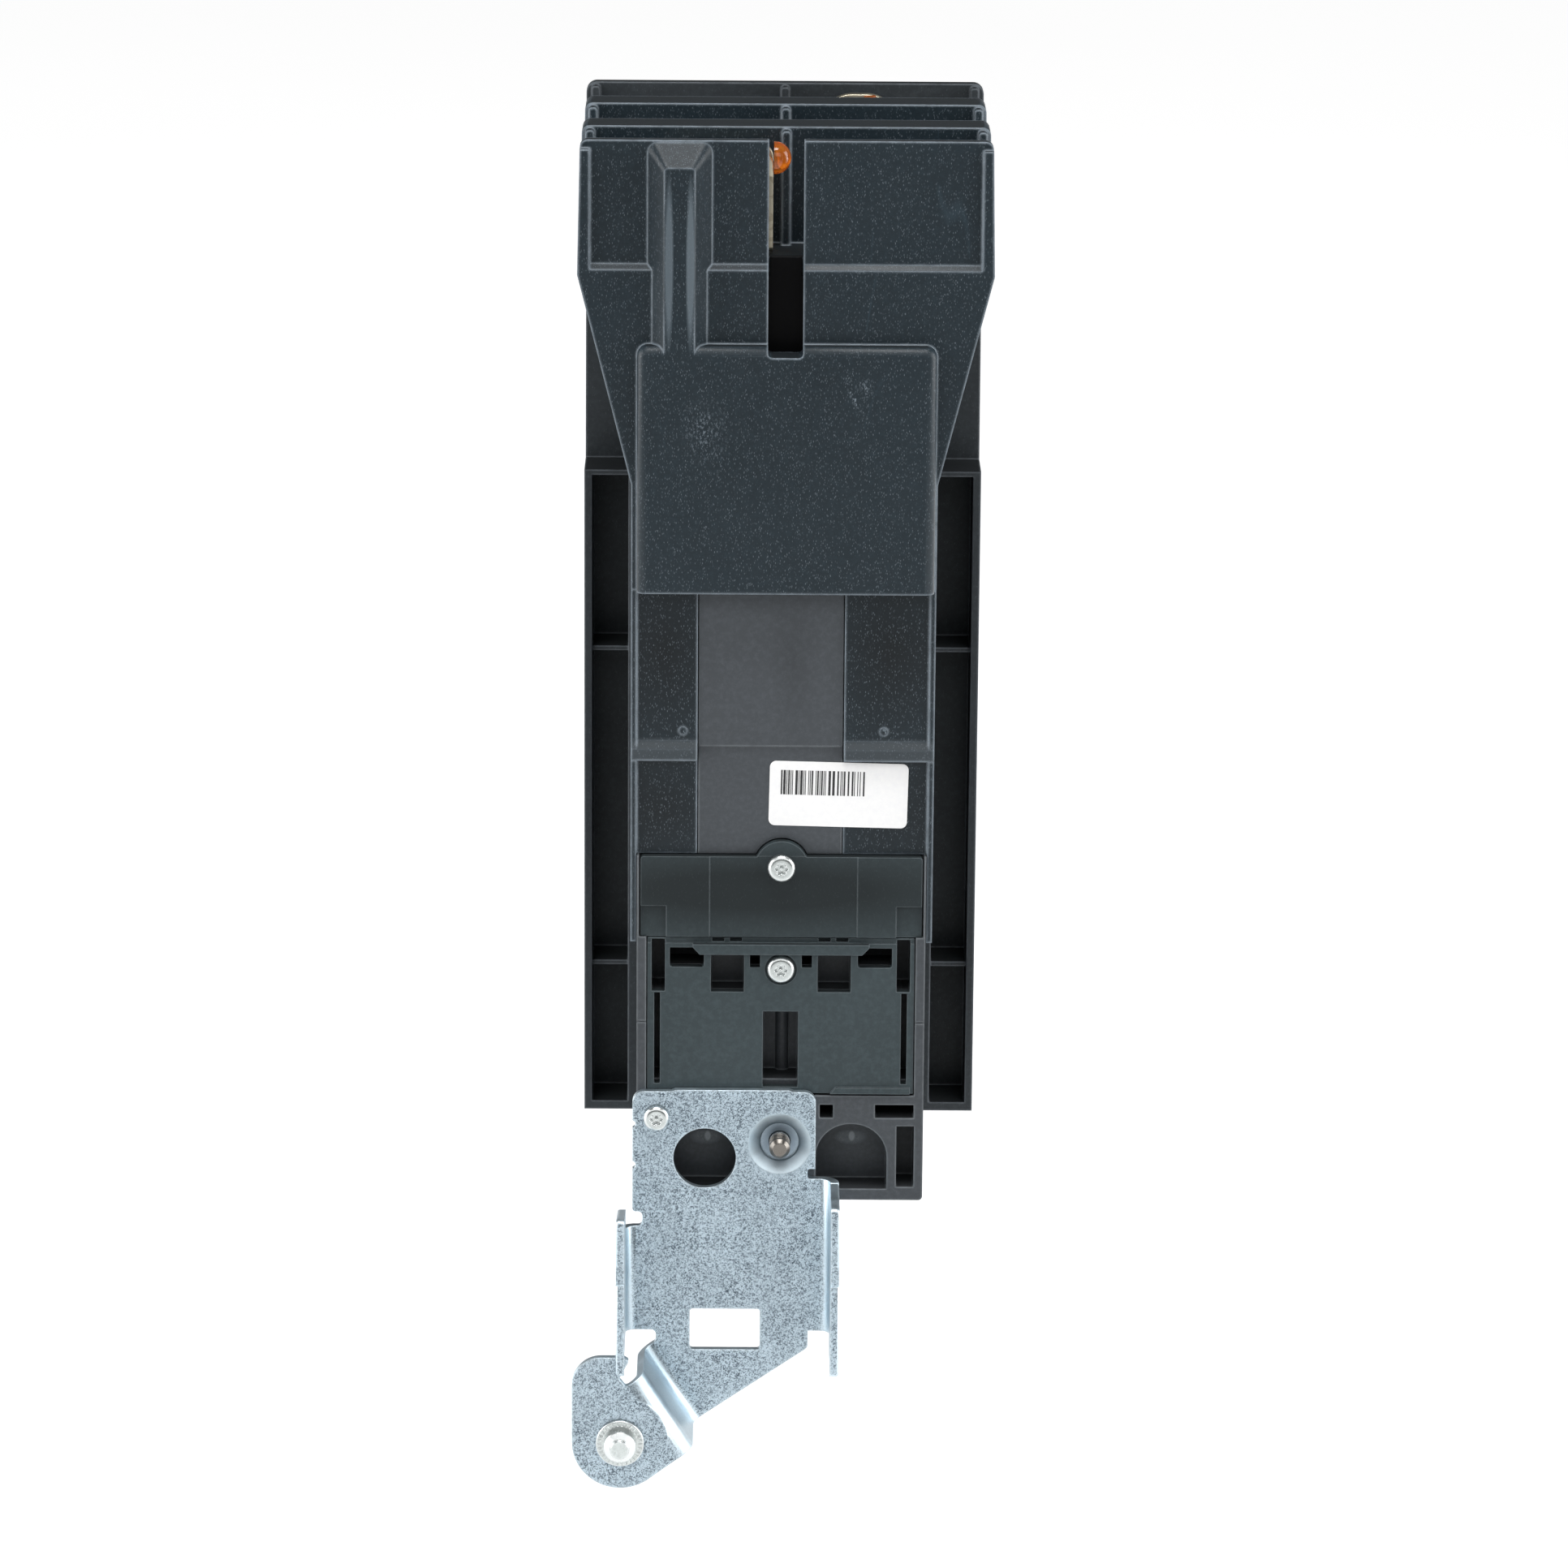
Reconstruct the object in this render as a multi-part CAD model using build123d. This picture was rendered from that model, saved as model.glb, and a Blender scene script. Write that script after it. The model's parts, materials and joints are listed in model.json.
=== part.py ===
from build123d import *
from math import cos, radians, sin
import os

# Two-pole plug-on moulded-case circuit breaker with a bus-bar jaw head and a steel foot bracket.
#
# Drawing axes: X across the poles (0 between them), Y from the rear face (0) to the operator's side,
# Z up from the load end (0) to the bus-bar end. Everything is drawn there and moved once, in save(),
# so that the part's origin is on the foot screw's axis, in the seat face of its collar.

# ---- driving dimensions, mm -------------------------------------------------------------------
POLE_PITCH = 27.0
BASE_W, BASE_H = 54.0, 137.0        # moulded breaker: two poles wide
CASE_D, NOSE_D = 72.0, 80.0         # shoulder and nose of the front, from the rear face
SPLIT_Y = 46.0                      # base case meets base cover
WIDE = 76.2                         # head and dead-front wings
HEAD_TOP, HEAD_FLOOR = 201.7, 180.0
SHOULDER_Z, NECK_Z = 177.0, 138.0
FRONT_Y0, FRONT_Y1 = 67.5, 70.0     # sheet of the front cover
WING_Y = 56.0                       # rear edge of the wings
FIN_PITCH, FIN_T = 25.8, 8.2
FIN_Y = 16.9                        # near side of the first fin
SHEET = 1.6                         # bracket steel
FOOT_DROP = 16.0                    # foot stands this far behind the bracket plate
FOOT_X, FOOT_Z = -29.7, -42.4
HOLE_PITCH = 114.0                  # the two M4 fixing holes, on the centre line
LUG_Y, LUG_Z = 29.0, 10.0           # wire hole of the load lug
WIRE_R = 4.5
FIT = 0.05                          # radial clearance of running fits
GAP = 0.3                           # clearance between moulded parts

POLES = {"left": -POLE_PITCH / 2, "right": POLE_PITCH / 2}
HALF = BASE_W / 2
WING_X = WIDE / 2
PLATE_Y = -SHEET                    # rear face of the bracket plate
FOOT_Y = PLATE_Y - FOOT_DROP        # rear face of the foot
SEAT_Y = FOOT_Y - 0.8               # rear face of the collar that seats on the frame
LOW_HOLE_Z = (BASE_H - HOLE_PITCH) / 2
HIGH_HOLE_Z = LOW_HOLE_Z + HOLE_PITCH
FIN2_Y = FIN_Y + FIN_PITCH
JAW_Y = {"left": 10.1, "right": (FIN2_Y + FIN_T + FRONT_Y0) / 2}
JAW_TOP = {"left": 199.4, "right": 200.3}
JAW_HALF = {"left": 10.0, "right": 7.6}     # half the jaws' width
JAW_SHIFT = {"left": 1.1, "right": 0.6}     # their middle, off the pole's middle
CROWN_R = {"left": 3.0, "right": 6.2}
TOGGLE_Y, TOGGLE_Z = 50.0, 72.0     # toggle pivot
SHAFT_Y, SHAFT_Z = 24.0, 84.0       # contact shaft pivot
BAR_Y, BAR_Z = 38.0, 46.0           # trip bar pivot
BUTTON_X, BUTTON_Z = -8.5, 42.5
OFF_ANGLE = -18.0                   # toggle in the OFF rest position, from level
OPEN_ANGLE = -24.0                  # contact arms open, from touching
LINK_ARM, CRANK_ARM = 10.0, 14.9    # toggle pivot to link pin, shaft pivot to crank pin


# ---- helpers ----------------------------------------------------------------------------------
def block(x0, x1, y0, y1, z0, z1):
    centre = Pos((x0 + x1) / 2, (y0 + y1) / 2, (z0 + z1) / 2)
    return centre * Box(abs(x1 - x0), abs(y1 - y0), abs(z1 - z0))


def slab(points, y0, y1, radii=None):
    """Outline of (x, z) points, with a corner radius for each point that needs one, from y0 to y1."""
    face = make_face(Polyline(*points, close=True).edges())
    for index, radius in (radii or {}).items():
        face = fillet(face.vertices().sort_by_distance((*points[index], 0))[0], radius)
    return Pos(0, y1, 0) * (Plane.XZ * extrude(face, y1 - y0))


def prism(points, x0, x1):
    """Outline of (y, z) points, from x0 to x1."""
    face = make_face(Polyline(*points, close=True).edges())
    return Pos(x0, 0, 0) * (Plane.YZ * extrude(face, x1 - x0))


def rod_x(radius, x0, x1, y, z):
    return Pos((x0 + x1) / 2, y, z) * Rot(0, 90, 0) * Cylinder(radius, x1 - x0)


def rod_y(radius, y0, y1, x, z):
    return Pos(x, (y0 + y1) / 2, z) * Rot(90, 0, 0) * Cylinder(radius, y1 - y0)


def rod_z(radius, z0, z1, x, y):
    return Pos(x, y, (z0 + z1) / 2) * Cylinder(radius, z1 - z0)


def cone_y(r_rear, r_front, y0, y1, x, z):
    """Frustum along Y with its rear radius at y0."""
    return Pos(x, (y0 + y1) / 2, z) * Rot(-90, 0, 0) * Cone(r_rear, r_front, y1 - y0)


def turned(shape, y, z, degrees):
    """Turn about the X line through (y, z)."""
    return Pos(0, y, z) * Rot(degrees, 0, 0) * Pos(0, -y, -z) * shape


def on_circle(y, z, radius, degrees):
    """Point at an angle from straight up, positive towards the rear."""
    return y - radius * sin(radians(degrees)), z + radius * cos(radians(degrees))


def mirrored(shape):
    return [shape, mirror(shape, Plane.YZ)]


def union(shapes):
    first, *rest = shapes
    return first.fuse(*rest) if rest else first


def save(node, shape):
    """Write one node, moved so that the origin is in the seat face of the foot's collar."""
    parts = shape if isinstance(shape, list) else [shape]
    moved = [Pos(-FOOT_X, -SEAT_Y, -FOOT_Z) * part for part in parts]
    solids = [solid for part in moved for solid in part.solids()]
    whole = solids[0] if len(solids) == 1 else Compound(children=solids)
    export_step(whole, f"parts/{node}.step")


# ---- jaw head and cradle ----------------------------------------------------------------------
HEAD_TOP_X, SHOULDER_X, CRADLE_X = 37.6, 38.1, 28.2
NEAR_T = 3.4                        # near plate
PANEL_Y = 1.3                       # its recessed panels
RIM_X = 35.8                        # inside of its side rims
SLOT_X = 3.2
BOX_Y, BOX_X0, BOX_X1 = -3.3, -27.1, 27.7
BOX_Z0, BOX_Z1 = 118.1, 164.3
KEY_X = -19.4
WALL_T = 1.1
RIB_T = 1.6
STRIP_L, STRIP_R = -15.8, 11.4      # floor strips stop at these sides of the window
RAMP_Z0, RAMP_Z1 = 85.5, 89.2
EJECTOR_Z = 91.1                    # ejector-pin marks on the floor strips
PAD_Z = 88.1                        # step in the case wall seen through the window
CRADLE_Z = 50.5
COVER_Z0, COVER_Z1 = 51.5, 67.1


def head_outline(inset):
    top, shoulder, neck = HEAD_TOP_X - inset, SHOULDER_X - inset, CRADLE_X - inset
    return [(-top, HEAD_TOP), (top, HEAD_TOP), (shoulder, SHOULDER_Z), (neck, NECK_Z),
            (-neck, NECK_Z), (-shoulder, SHOULDER_Z)]


def channel_rib(x, wall_y):
    """Upright stiffening rib with a rounded top on the far wall of a bus channel."""
    outline = [(x - RIB_T / 2, HEAD_FLOOR), (x - RIB_T / 2, HEAD_TOP - 0.5),
               (x + RIB_T / 2, HEAD_TOP - 0.5), (x + RIB_T / 2, HEAD_FLOOR)]
    return slab(outline, wall_y - 2.6, wall_y + 0.2, {1: 0.6, 2: 0.6})


def rib_row(wall_y):
    return [channel_rib(x, wall_y) for x in (-WING_X + 2.0, 0, WING_X - 2.0)]


def head_shell():
    shell = slab(head_outline(0), 0, FRONT_Y0, {0: 1.5, 1: 1.5})
    inner = [(-36.0, SHOULDER_Z - 0.4), (36.0, SHOULDER_Z - 0.4), (CRADLE_X - 2.0, NECK_Z - 1),
             (2.0 - CRADLE_X, NECK_Z - 1)]
    cuts = [slab(inner, NEAR_T - 0.8, FRONT_Y0 + 1)]
    channels = [(NEAR_T, FIN_Y), (FIN_Y + FIN_T, FIN2_Y), (FIN2_Y + FIN_T, FRONT_Y0 + 1)]
    cuts += [block(-50, 50, y0, y1, HEAD_FLOOR, HEAD_TOP + 1) for y0, y1 in channels]
    step = [(-1, SHOULDER_Z + 0.3), (PANEL_Y, SHOULDER_Z + 1.9), (PANEL_Y, 230), (-1, 230)]
    cuts += [prism(step, -RIM_X, RIM_X)]
    cuts += mirrored(block(RIM_X - 1, 50, -1, PANEL_Y, HEAD_TOP - 1.6, 230))
    slot = [(-SLOT_X, BOX_Z1 - 1.9), (SLOT_X, BOX_Z1 - 1.9), (SLOT_X, 230), (-SLOT_X, 230)]
    cuts += [slab(slot, -9, NEAR_T, {0: 0.8, 1: 0.8})]
    cuts += [jaw_passage(side, x) for side, x in POLES.items()]
    return shell, cuts


def jaw_passage(side, x):
    """Hole in the channel floor where the jaw's foot comes through."""
    return block(x - 8.3, x + 8.3, JAW_Y[side] - 3.3, JAW_Y[side] + 3.3, HEAD_FLOOR - 5, HEAD_FLOOR + 1)


def key_rib():
    outer = Plane.XZ.offset(-PANEL_Y) * Pos(KEY_X, 181) * RectangleRounded(11.8, 40.4, 1.8)
    inner = Plane.XZ.offset(-BOX_Y) * Pos(KEY_X, 179) * RectangleRounded(5.6, 36.6, 0.7)
    return loft([outer.face(), inner.face()])


def lower_box():
    outline = [(BOX_X0, BOX_Z0), (BOX_X0, BOX_Z1), (BOX_X1, BOX_Z1), (BOX_X1, BOX_Z0)]
    box = slab(outline, BOX_Y, 0.5, {1: 2.0, 2: 2.0})
    rim = [edge for edge in box.edges().group_by(Axis.Y)[0] if edge.center().Z > BOX_Z0 + 1]
    return fillet(rim, 1.6)


def cradle_floor():
    """Rear plate, side walls and floor strips that wrap the breaker."""
    outline = [(-CRADLE_X, BOX_Z0), (CRADLE_X, BOX_Z0), (CRADLE_X, NECK_Z + 1), (-CRADLE_X, NECK_Z + 1)]
    pieces = [slab(outline, 0, NEAR_T - 1.0)]
    pieces += mirrored(block(CRADLE_X - WALL_T, CRADLE_X, 0.3, FRONT_Y0 - 12, CRADLE_Z, NECK_Z + 1))
    floor_y1 = NEAR_T - 1.0
    for x0, x1 in ((-CRADLE_X, STRIP_L), (STRIP_R, CRADLE_X)):
        pieces += [block(x0, x1, 0.9, floor_y1, RAMP_Z1, BOX_Z0 + 1)]
        ramp = [(0.9, RAMP_Z1), (0.25, RAMP_Z1 - 1.6), (0.0, RAMP_Z0), (floor_y1, RAMP_Z0),
                (floor_y1, RAMP_Z1)]
        pieces += [prism(ramp, x0, x1)]
        pieces += [block(x0, x1, 1.6, floor_y1, COVER_Z1 + 0.2, RAMP_Z0)]
    pieces += [rod_y(0.8, 0.7, 1.2, x, EJECTOR_Z) for x in (-18.5, 18.8)]
    return pieces


def adaptor_housing():
    shell, cuts = head_shell()
    body = shell.cut(*cuts)
    pieces = [key_rib(), lower_box()] + cradle_floor()
    pieces += rib_row(FIN_Y) + rib_row(FIN2_Y)
    body = body.fuse(*pieces)
    slot = [(-SLOT_X, BOX_Z1 - 1.9), (SLOT_X, BOX_Z1 - 1.9), (SLOT_X, 230), (-SLOT_X, 230)]
    body -= slab(slot, -9, NEAR_T, {0: 0.8, 1: 0.8})
    strap_room = block(-26, 26, 0.0, NEAR_T, BOX_Z0 + 3, BASE_H - 3)
    window = block(STRIP_L, STRIP_R, -1, NEAR_T, CRADLE_Z, BOX_Z0)
    body = body.cut(strap_room, window, rod_y(2.1, -2.0, NEAR_T, 0, HIGH_HOLE_Z))
    return body


def slot_insulator():
    """Smooth black sheet behind the head's central slot, with a tongue up to the channel floor."""
    sheet = block(-9, 9, NEAR_T - 0.8, NEAR_T, NECK_Z + 4, SHOULDER_Z - 0.6)
    tongue = block(0.2 - SLOT_X, SLOT_X - 0.2, NEAR_T - 0.8, NEAR_T - 0.05,
                   SHOULDER_Z - 2, HEAD_FLOOR + 0.2)
    return sheet + tongue


# ---- front cover with the wings -----------------------------------------------------------------
WING_IN, WING_ROOM = HALF + GAP, 29.6   # inner wall of a wing: its two faces


def wing():
    """Right-hand dead-front wing: a shallow channel, open at the rear."""
    outline = [(WING_IN, 0), (WING_X, 0), (WING_X, 128.5), (WING_IN, 128.5)]
    body = slab(outline, WING_Y, FRONT_Y1)
    body -= block(WING_ROOM, WING_X - 1.5, WING_Y - 1, FRONT_Y0, 1.7, 127.5)
    ribs = [block(WING_IN, WING_X - 1, WING_Y + 1.5, FRONT_Y0 + 1, z, z + 0.9) for z in (29.2, 92.5)]
    return body.fuse(*ribs)


def front_cover():
    outline = [(-WING_X, 120), (WING_X, 120), (WING_X, 180), (HEAD_TOP_X + 0.3, HEAD_TOP),
               (-HEAD_TOP_X - 0.3, HEAD_TOP), (-WING_X, 180)]
    plate = slab(outline, FRONT_Y0, FRONT_Y1, {3: 2.0, 4: 2.0})
    plate -= block(-WING_IN, WING_IN, 0, 90, 100, BASE_H + GAP)
    raised = slab([(-31, 142), (31, 142), (31, 196), (-31, 196)], FRONT_Y1 - 0.5, CASE_D,
                  {0: 3, 1: 3, 2: 3, 3: 3})
    grip_grooves = [block(-22, 22, CASE_D - 0.7, CASE_D + 1, z, z + 1.2) for z in (176, 180, 184, 188)]
    body = plate.fuse(raised, *mirrored(wing()), *rib_row(FRONT_Y0))
    return body.cut(*grip_grooves)


# ---- breaker case --------------------------------------------------------------------------------
BAY_IN, BAY_OUT = 1.5, 25.2
RECESS_Y = 2.6                      # rear face of the case behind the cradle floor
PANEL_Z0, PANEL_Z1 = 22.2, 49.6
YOKE_PIN = on_circle(TOGGLE_Y, TOGGLE_Z, LINK_ARM, OFF_ANGLE)
CRANK_PIN = on_circle(SHAFT_Y, SHAFT_Z, CRANK_ARM, OPEN_ANGLE / 2)
CASE_SCREWS = [(-13.5, 131.0), (13.5, 131.0), (0, 28.0), (0, 112.0)]
SHAFT_R, BAR_R = 3.4, 2.4
JOURNAL_X = 26.0                    # ends of the contact shaft and trip bar


def bay(x, y0):
    """Room of one pole, from y0 to the front."""
    side = 1 if x > 0 else -1
    low, high = sorted((side * BAY_IN, side * BAY_OUT))
    return block(low, high, y0, 90, 23.5, BASE_H - 3.0)


def arch_pocket(x):
    """Arched recess in the rear wall below each lug."""
    outline = [(x - 6.7, 2.2), (x + 6.7, 2.2), (x + 6.7, 15.0), (x - 6.7, 15.0)]
    return slab(outline, -1, 7, {2: 6.5, 3: 6.5})


def case_rear_cuts():
    """Recesses of the rear face, bottom to top."""
    cuts = [arch_pocket(x) for x in POLES.values()]
    cuts += mirrored(block(7.5, 10.0, -1, 8, 16.2, 18.8))
    cuts += mirrored(block(17.9, 25.2, -1, 8, 16.2, 18.8))
    cuts += mirrored(block(22.0, 25.3, -1, 8, 2.6, 14.6))
    cuts += [rod_y(6.4, -1, 3.4, 0, LOW_HOLE_Z)]
    cuts += [block(-25.2, 25.2, -1, 2.2, PANEL_Z0 - 1.6, COVER_Z0)]
    cuts += mirrored(block(22.6, 24.4, -1, 9, PANEL_Z0 + 1, PANEL_Z1 - 9))
    cuts += [block(-3.3, 3.3, -1, 9, PANEL_Z0 + 1, 37.0)]
    cuts += mirrored(block(14.4, 20.9, -1, 9, 45.6, 49.4))
    cuts += mirrored(block(6.9, 13.1, -1, 7, 40.8, 48.5))
    cuts += mirrored(block(21.6, 24.3, -1, 9, 40.8, 51.0))
    cuts += mirrored(block(3.9, 5.8, -1, 7, 45.6, 48.5))
    cuts += [block(-26.6, 26.6, -1, 2.4, COVER_Z0, COVER_Z1 + 0.2)]
    cuts += [block(-30, 30, -1, RECESS_Y, COVER_Z1 + 0.2, BASE_H + 1)]
    cuts += mirrored(block(HALF - 1.8, 30, -1, 0.25, 34.8, 35.1))
    return cuts


def base_case():
    outline = [(-HALF, 0), (HALF, 0), (HALF, BASE_H), (-HALF, BASE_H)]
    body = slab(outline, 0, SPLIT_Y, {0: 0.8, 1: 0.8, 2: 0.8, 3: 0.8})
    cuts = case_rear_cuts() + [bay(x, 11.0) for x in POLES.values()]
    for x in POLES.values():
        cuts += [block(x - 7.6, x + 7.6, LUG_Y - 8.0, 90, 2.4, 22.0)]
        cuts += [rod_z(WIRE_R + 0.8, -1, 4, x, LUG_Y)]
        cuts += [block(x - 3.2, x + 3.2, 22.9, 26.1, 20, 25)]
        cuts += [block(x - 6.4, x + 6.4, 8.9, 11.3, 100, BASE_H + 1)]
    cuts += [block(-17, 17, 30.5, 90, 40, 104), block(-9, 9, 16.5, 31, SHAFT_Z - 6, 104)]
    cuts += [rod_x(SHAFT_R + FIT, -JOURNAL_X - 0.2, JOURNAL_X + 0.2, SHAFT_Y, SHAFT_Z),
             rod_x(BAR_R + FIT, -JOURNAL_X - 0.2, JOURNAL_X + 0.2, BAR_Y, BAR_Z)]
    body = body.cut(*cuts)
    body = body.fuse(rod_y(3.2, 10, SPLIT_Y, 0, HIGH_HOLE_Z), *case_posts(11.6, SPLIT_Y))
    pads = [block(STRIP_L + 0.2, STRIP_R - 0.2, 1.2, RECESS_Y + 0.5, PAD_Z, BOX_Z0 - 0.1),
            block(STRIP_L + 0.2, STRIP_R - 0.2, 1.6, RECESS_Y + 0.5, COVER_Z1 + 0.2, PAD_Z)]
    posts = [rod_y(2.6, 2.2, 9, 0, z) for z in (45.2, 65.1)]
    slot_rib = rod_z(1.2, PANEL_Z0, 38.0, 0.3, 9.0)
    body = body.fuse(*pads, *posts, slot_rib)
    tab_room = rod_y(5.3, -1, 2.4, 0, 65.1)
    holes = [rod_y(1.4, 1, 9.5, 0, z) for z in (45.2, 65.1)]
    holes += [rod_y(2.1, -1, 90, 0, z) for z in (LOW_HOLE_Z, HIGH_HOLE_Z)]
    holes += [rod_y(1.6, 20, 90, x, z) for x, z in CASE_SCREWS]
    holes += [rod_y(1.35, -1, 9, -23.2, 16.6)]
    return body.cut(tab_room, *holes)


def case_posts(y0, y1):
    return [rod_y(3.4, y0, y1, x, z) for x, z in CASE_SCREWS]


def rear_cover():
    """Flat cover across the rear with a round tab for its screw."""
    outline = [(-26.3, COVER_Z0), (26.3, COVER_Z0), (26.3, COVER_Z1), (-26.3, COVER_Z1)]
    body = slab(outline, 0, 2.3, {2: 0.6, 3: 0.6}) + rod_y(5.0, 0, 2.3, 0, 65.1)
    body -= rod_y(1.7, -1, 3, 0, 65.1)
    corners = mirrored(block(21.5, 30, -1, 0.5, COVER_Z0 - 1, COVER_Z0 + 6.0))
    band = block(-13.4, 14.2, -1, 0.12, COVER_Z0 - 1, COVER_Z1 + 0.1)
    return body.cut(*corners, band)


def rear_panel():
    """Slotted panel of the rear with a hooked upper lip, held by one screw."""
    outline = [(-25.0, PANEL_Z0 - 1.2), (25.0, PANEL_Z0 - 1.2), (25.0, COVER_Z0 - 0.2),
               (-25.0, COVER_Z0 - 0.2)]
    body = slab(outline, 0.2, 2.1)
    cuts = mirrored(block(22.6, 23.7, -1, 3, PANEL_Z0 + 0.6, PANEL_Z1 - 9.0))
    cuts += [block(-3.3, 3.3, -1, 3, PANEL_Z0, 37.0)]
    cuts += mirrored(slab([(14.4, 45.6), (20.8, 45.6), (20.8, 49.4), (14.4, 49.4)], -1, 3,
                          {0: 0.5, 1: 0.5}))
    cuts += mirrored(block(6.9, 13.1, -1, 3, 40.8, 48.5))
    cuts += mirrored(block(21.7, 24.2, -1, 3, 40.9, 51.0))
    cuts += mirrored(block(3.9, 5.8, -1, 3, 45.6, 48.5))
    cuts += [rod_y(1.7, -1, 3, 0, 45.2), rod_y(3.0, -1, 0.9, 0, 45.2)]
    cuts += [block(-50, 50, -1, 0.5, COVER_Z0 - 1.2, 52)]
    cuts += [block(x, x + 2.3, -1, 1.5, COVER_Z0 - 0.9, 52) for x in (-12.9, -9.6, 7.0, 10.3)]
    body = body.cut(*cuts)
    hook = slab([(-16.5, 50.3), (16.5, 50.3), (16.5, 49.7), (15.2, 48.3), (-15.2, 48.3), (-16.5, 49.7)],
                -0.9, 0.6)
    lip = slab([(9.4, PANEL_Z0 - 1.2), (10.4, PANEL_Z0), (24.4, PANEL_Z0), (24.4, PANEL_Z0 - 1.2)],
               -0.4, 0.6)
    return body.fuse(hook, lip)


def base_cover():
    """Front of the breaker: shoulder, raised nose, toggle slot and screw access holes."""
    outline = [(-HALF, 0), (HALF, 0), (HALF, BASE_H), (-HALF, BASE_H)]
    body = slab(outline, SPLIT_Y, CASE_D, {0: 0.8, 1: 0.8, 2: 0.8, 3: 0.8})
    nose = slab([(-22.5, 34), (22.5, 34), (22.5, 104), (-22.5, 104)], CASE_D - 1, NOSE_D,
                {0: 3, 1: 3, 2: 3, 3: 3})
    body = body.fuse(fillet(nose.faces().sort_by(Axis.Y)[-1].edges(), 1.2))
    cuts = [block(-BAY_OUT, BAY_OUT, SPLIT_Y - 1, CASE_D - 2.5, 23.5, BASE_H - 3)]
    cuts += [block(-20, 20, CASE_D - 5, NOSE_D - 2.2, 36.5, 101.5)]
    cuts += [block(-7.2, 7.2, 70, 90, TOGGLE_Z - 17.5, TOGGLE_Z + 17.5)]
    cuts += [rod_y(3.1, 70, 90, BUTTON_X, BUTTON_Z)]
    cuts += [rod_y(4.6, SPLIT_Y - 1, 90, x, LUG_Z) for x in POLES.values()]
    body = body.cut(*cuts).fuse(rod_y(6.0, SPLIT_Y, CASE_D - 1, 0, HIGH_HOLE_Z),
                                *case_posts(SPLIT_Y, CASE_D - 1))
    holes = [rod_y(2.1, 0, 90, 0, z) for z in (LOW_HOLE_Z, HIGH_HOLE_Z)]
    holes += [rod_y(4.3, CASE_D - 4, 90, 0, z) for z in (LOW_HOLE_Z, HIGH_HOLE_Z)]
    holes += [rod_y(1.6, 20, 90, x, z) for x, z in CASE_SCREWS]
    return body.cut(*holes)


# ---- steel bracket and foot ----------------------------------------------------------------------
PLATE_L, PLATE_R, PLATE_TOP = -27.7, 6.75, 22.0
FLANGE_L, FLANGE_R = -30.5, 11.2    # outer faces
BEND_R = 1.9
FLANGE_Y = -19.6
FLANGE_STEP_Z = -8.8                # shallow step in the flanges' rear edges
FOLD_TOP, FOLD_END = (-23.7, -28.25), (-14.4, -42.75)
FOOT_REACH = 9.05                   # foot's round end about its screw
FOOT_TOP = -25.6
CUP_R, CUP_FLOOR_R = 5.9, 3.6
FOOT_THREAD_R, NECK_R = 3.0, 2.7
FOOT_HEAD_Y = FOOT_Y + SHEET + 1.2


def plate_outline():
    return [(PLATE_L, PLATE_TOP - 0.3), (-20.4, PLATE_TOP - 0.3), (-19.6, PLATE_TOP),
            (1.8, PLATE_TOP), (2.6, PLATE_TOP - 0.3), (PLATE_R, PLATE_TOP - 0.3), (PLATE_R, 6.6),
            (5.3, 6.6), (5.3, 4.6), (FLANGE_R - 3.0, 4.6), (FLANGE_R - 3.0, -25.6), (5.6, -25.6),
            (5.6, -29.0), FOLD_END, FOLD_TOP, (-23.2, -27.9), (-23.2, -25.5), (PLATE_L, -25.5),
            (PLATE_L, -4.9), (-25.8, -4.9), (-25.8, -2.0), (PLATE_L, -2.0)]


def flange(outer, web_points, bend_z0, bend_z1):
    """Upright side flange on its bend; outer is the face away from the plate, web_points are (y, z)."""
    side = 1 if outer > 0 else -1
    reach = BEND_R + SHEET
    inner = outer - side * SHEET
    web = prism(web_points, min(inner, outer), max(inner, outer))
    web = fillet([e for e in web.edges().filter_by(Axis.X) if e.center().Y < FLANGE_Y + 0.1], 0.9)
    rim = [e for e in web.edges() if e.center().Y < FLANGE_Y + 0.5 and abs(e.center().X - outer) < 0.01]
    web = fillet(rim, 0.5)
    axis_x = outer - side * reach
    ring = Pos(axis_x, -reach, (bend_z0 + bend_z1) / 2) * (
        Cylinder(reach, bend_z1 - bend_z0) - Cylinder(BEND_R, bend_z1 - bend_z0 + 2))
    quarter = block(axis_x, outer + side, -reach, 1, bend_z0 - 1, bend_z1 + 1)
    straight = block(inner, outer, -reach - 0.5, -reach, bend_z0, bend_z1)
    return [web, ring & quarter, straight]


def foot_fold():
    """Z-shaped step from the plate back to the foot, square to its slanting fold line."""
    run_x, run_z = FOLD_END[0] - FOLD_TOP[0], FOLD_END[1] - FOLD_TOP[1]
    length = (run_x ** 2 + run_z ** 2) ** 0.5
    along = Vector(run_x / length, 0, run_z / length)
    across = Vector(along.Z, 0, -along.X)
    step = 2 * (BEND_R + SHEET / 2)
    mid = (step - SHEET) / 2
    outline = [(0, 0), (mid + SHEET, 0), (mid + SHEET, FOOT_Y + SHEET), (step, FOOT_Y + SHEET),
               (step, FOOT_Y), (mid, FOOT_Y), (mid, PLATE_Y), (0, PLATE_Y)]
    face = make_face(Polyline(*outline, close=True).edges())
    radii = {1: BEND_R + SHEET, 2: BEND_R, 5: BEND_R + SHEET, 6: BEND_R - 0.01}
    for index, radius in radii.items():
        face = fillet(face.vertices().sort_by_distance((*outline[index], 0))[0], radius)
    plane = Plane(origin=(FOLD_TOP[0], 0, FOLD_TOP[1]), x_dir=across, z_dir=along)
    return plane * extrude(face, length), across * step


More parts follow.
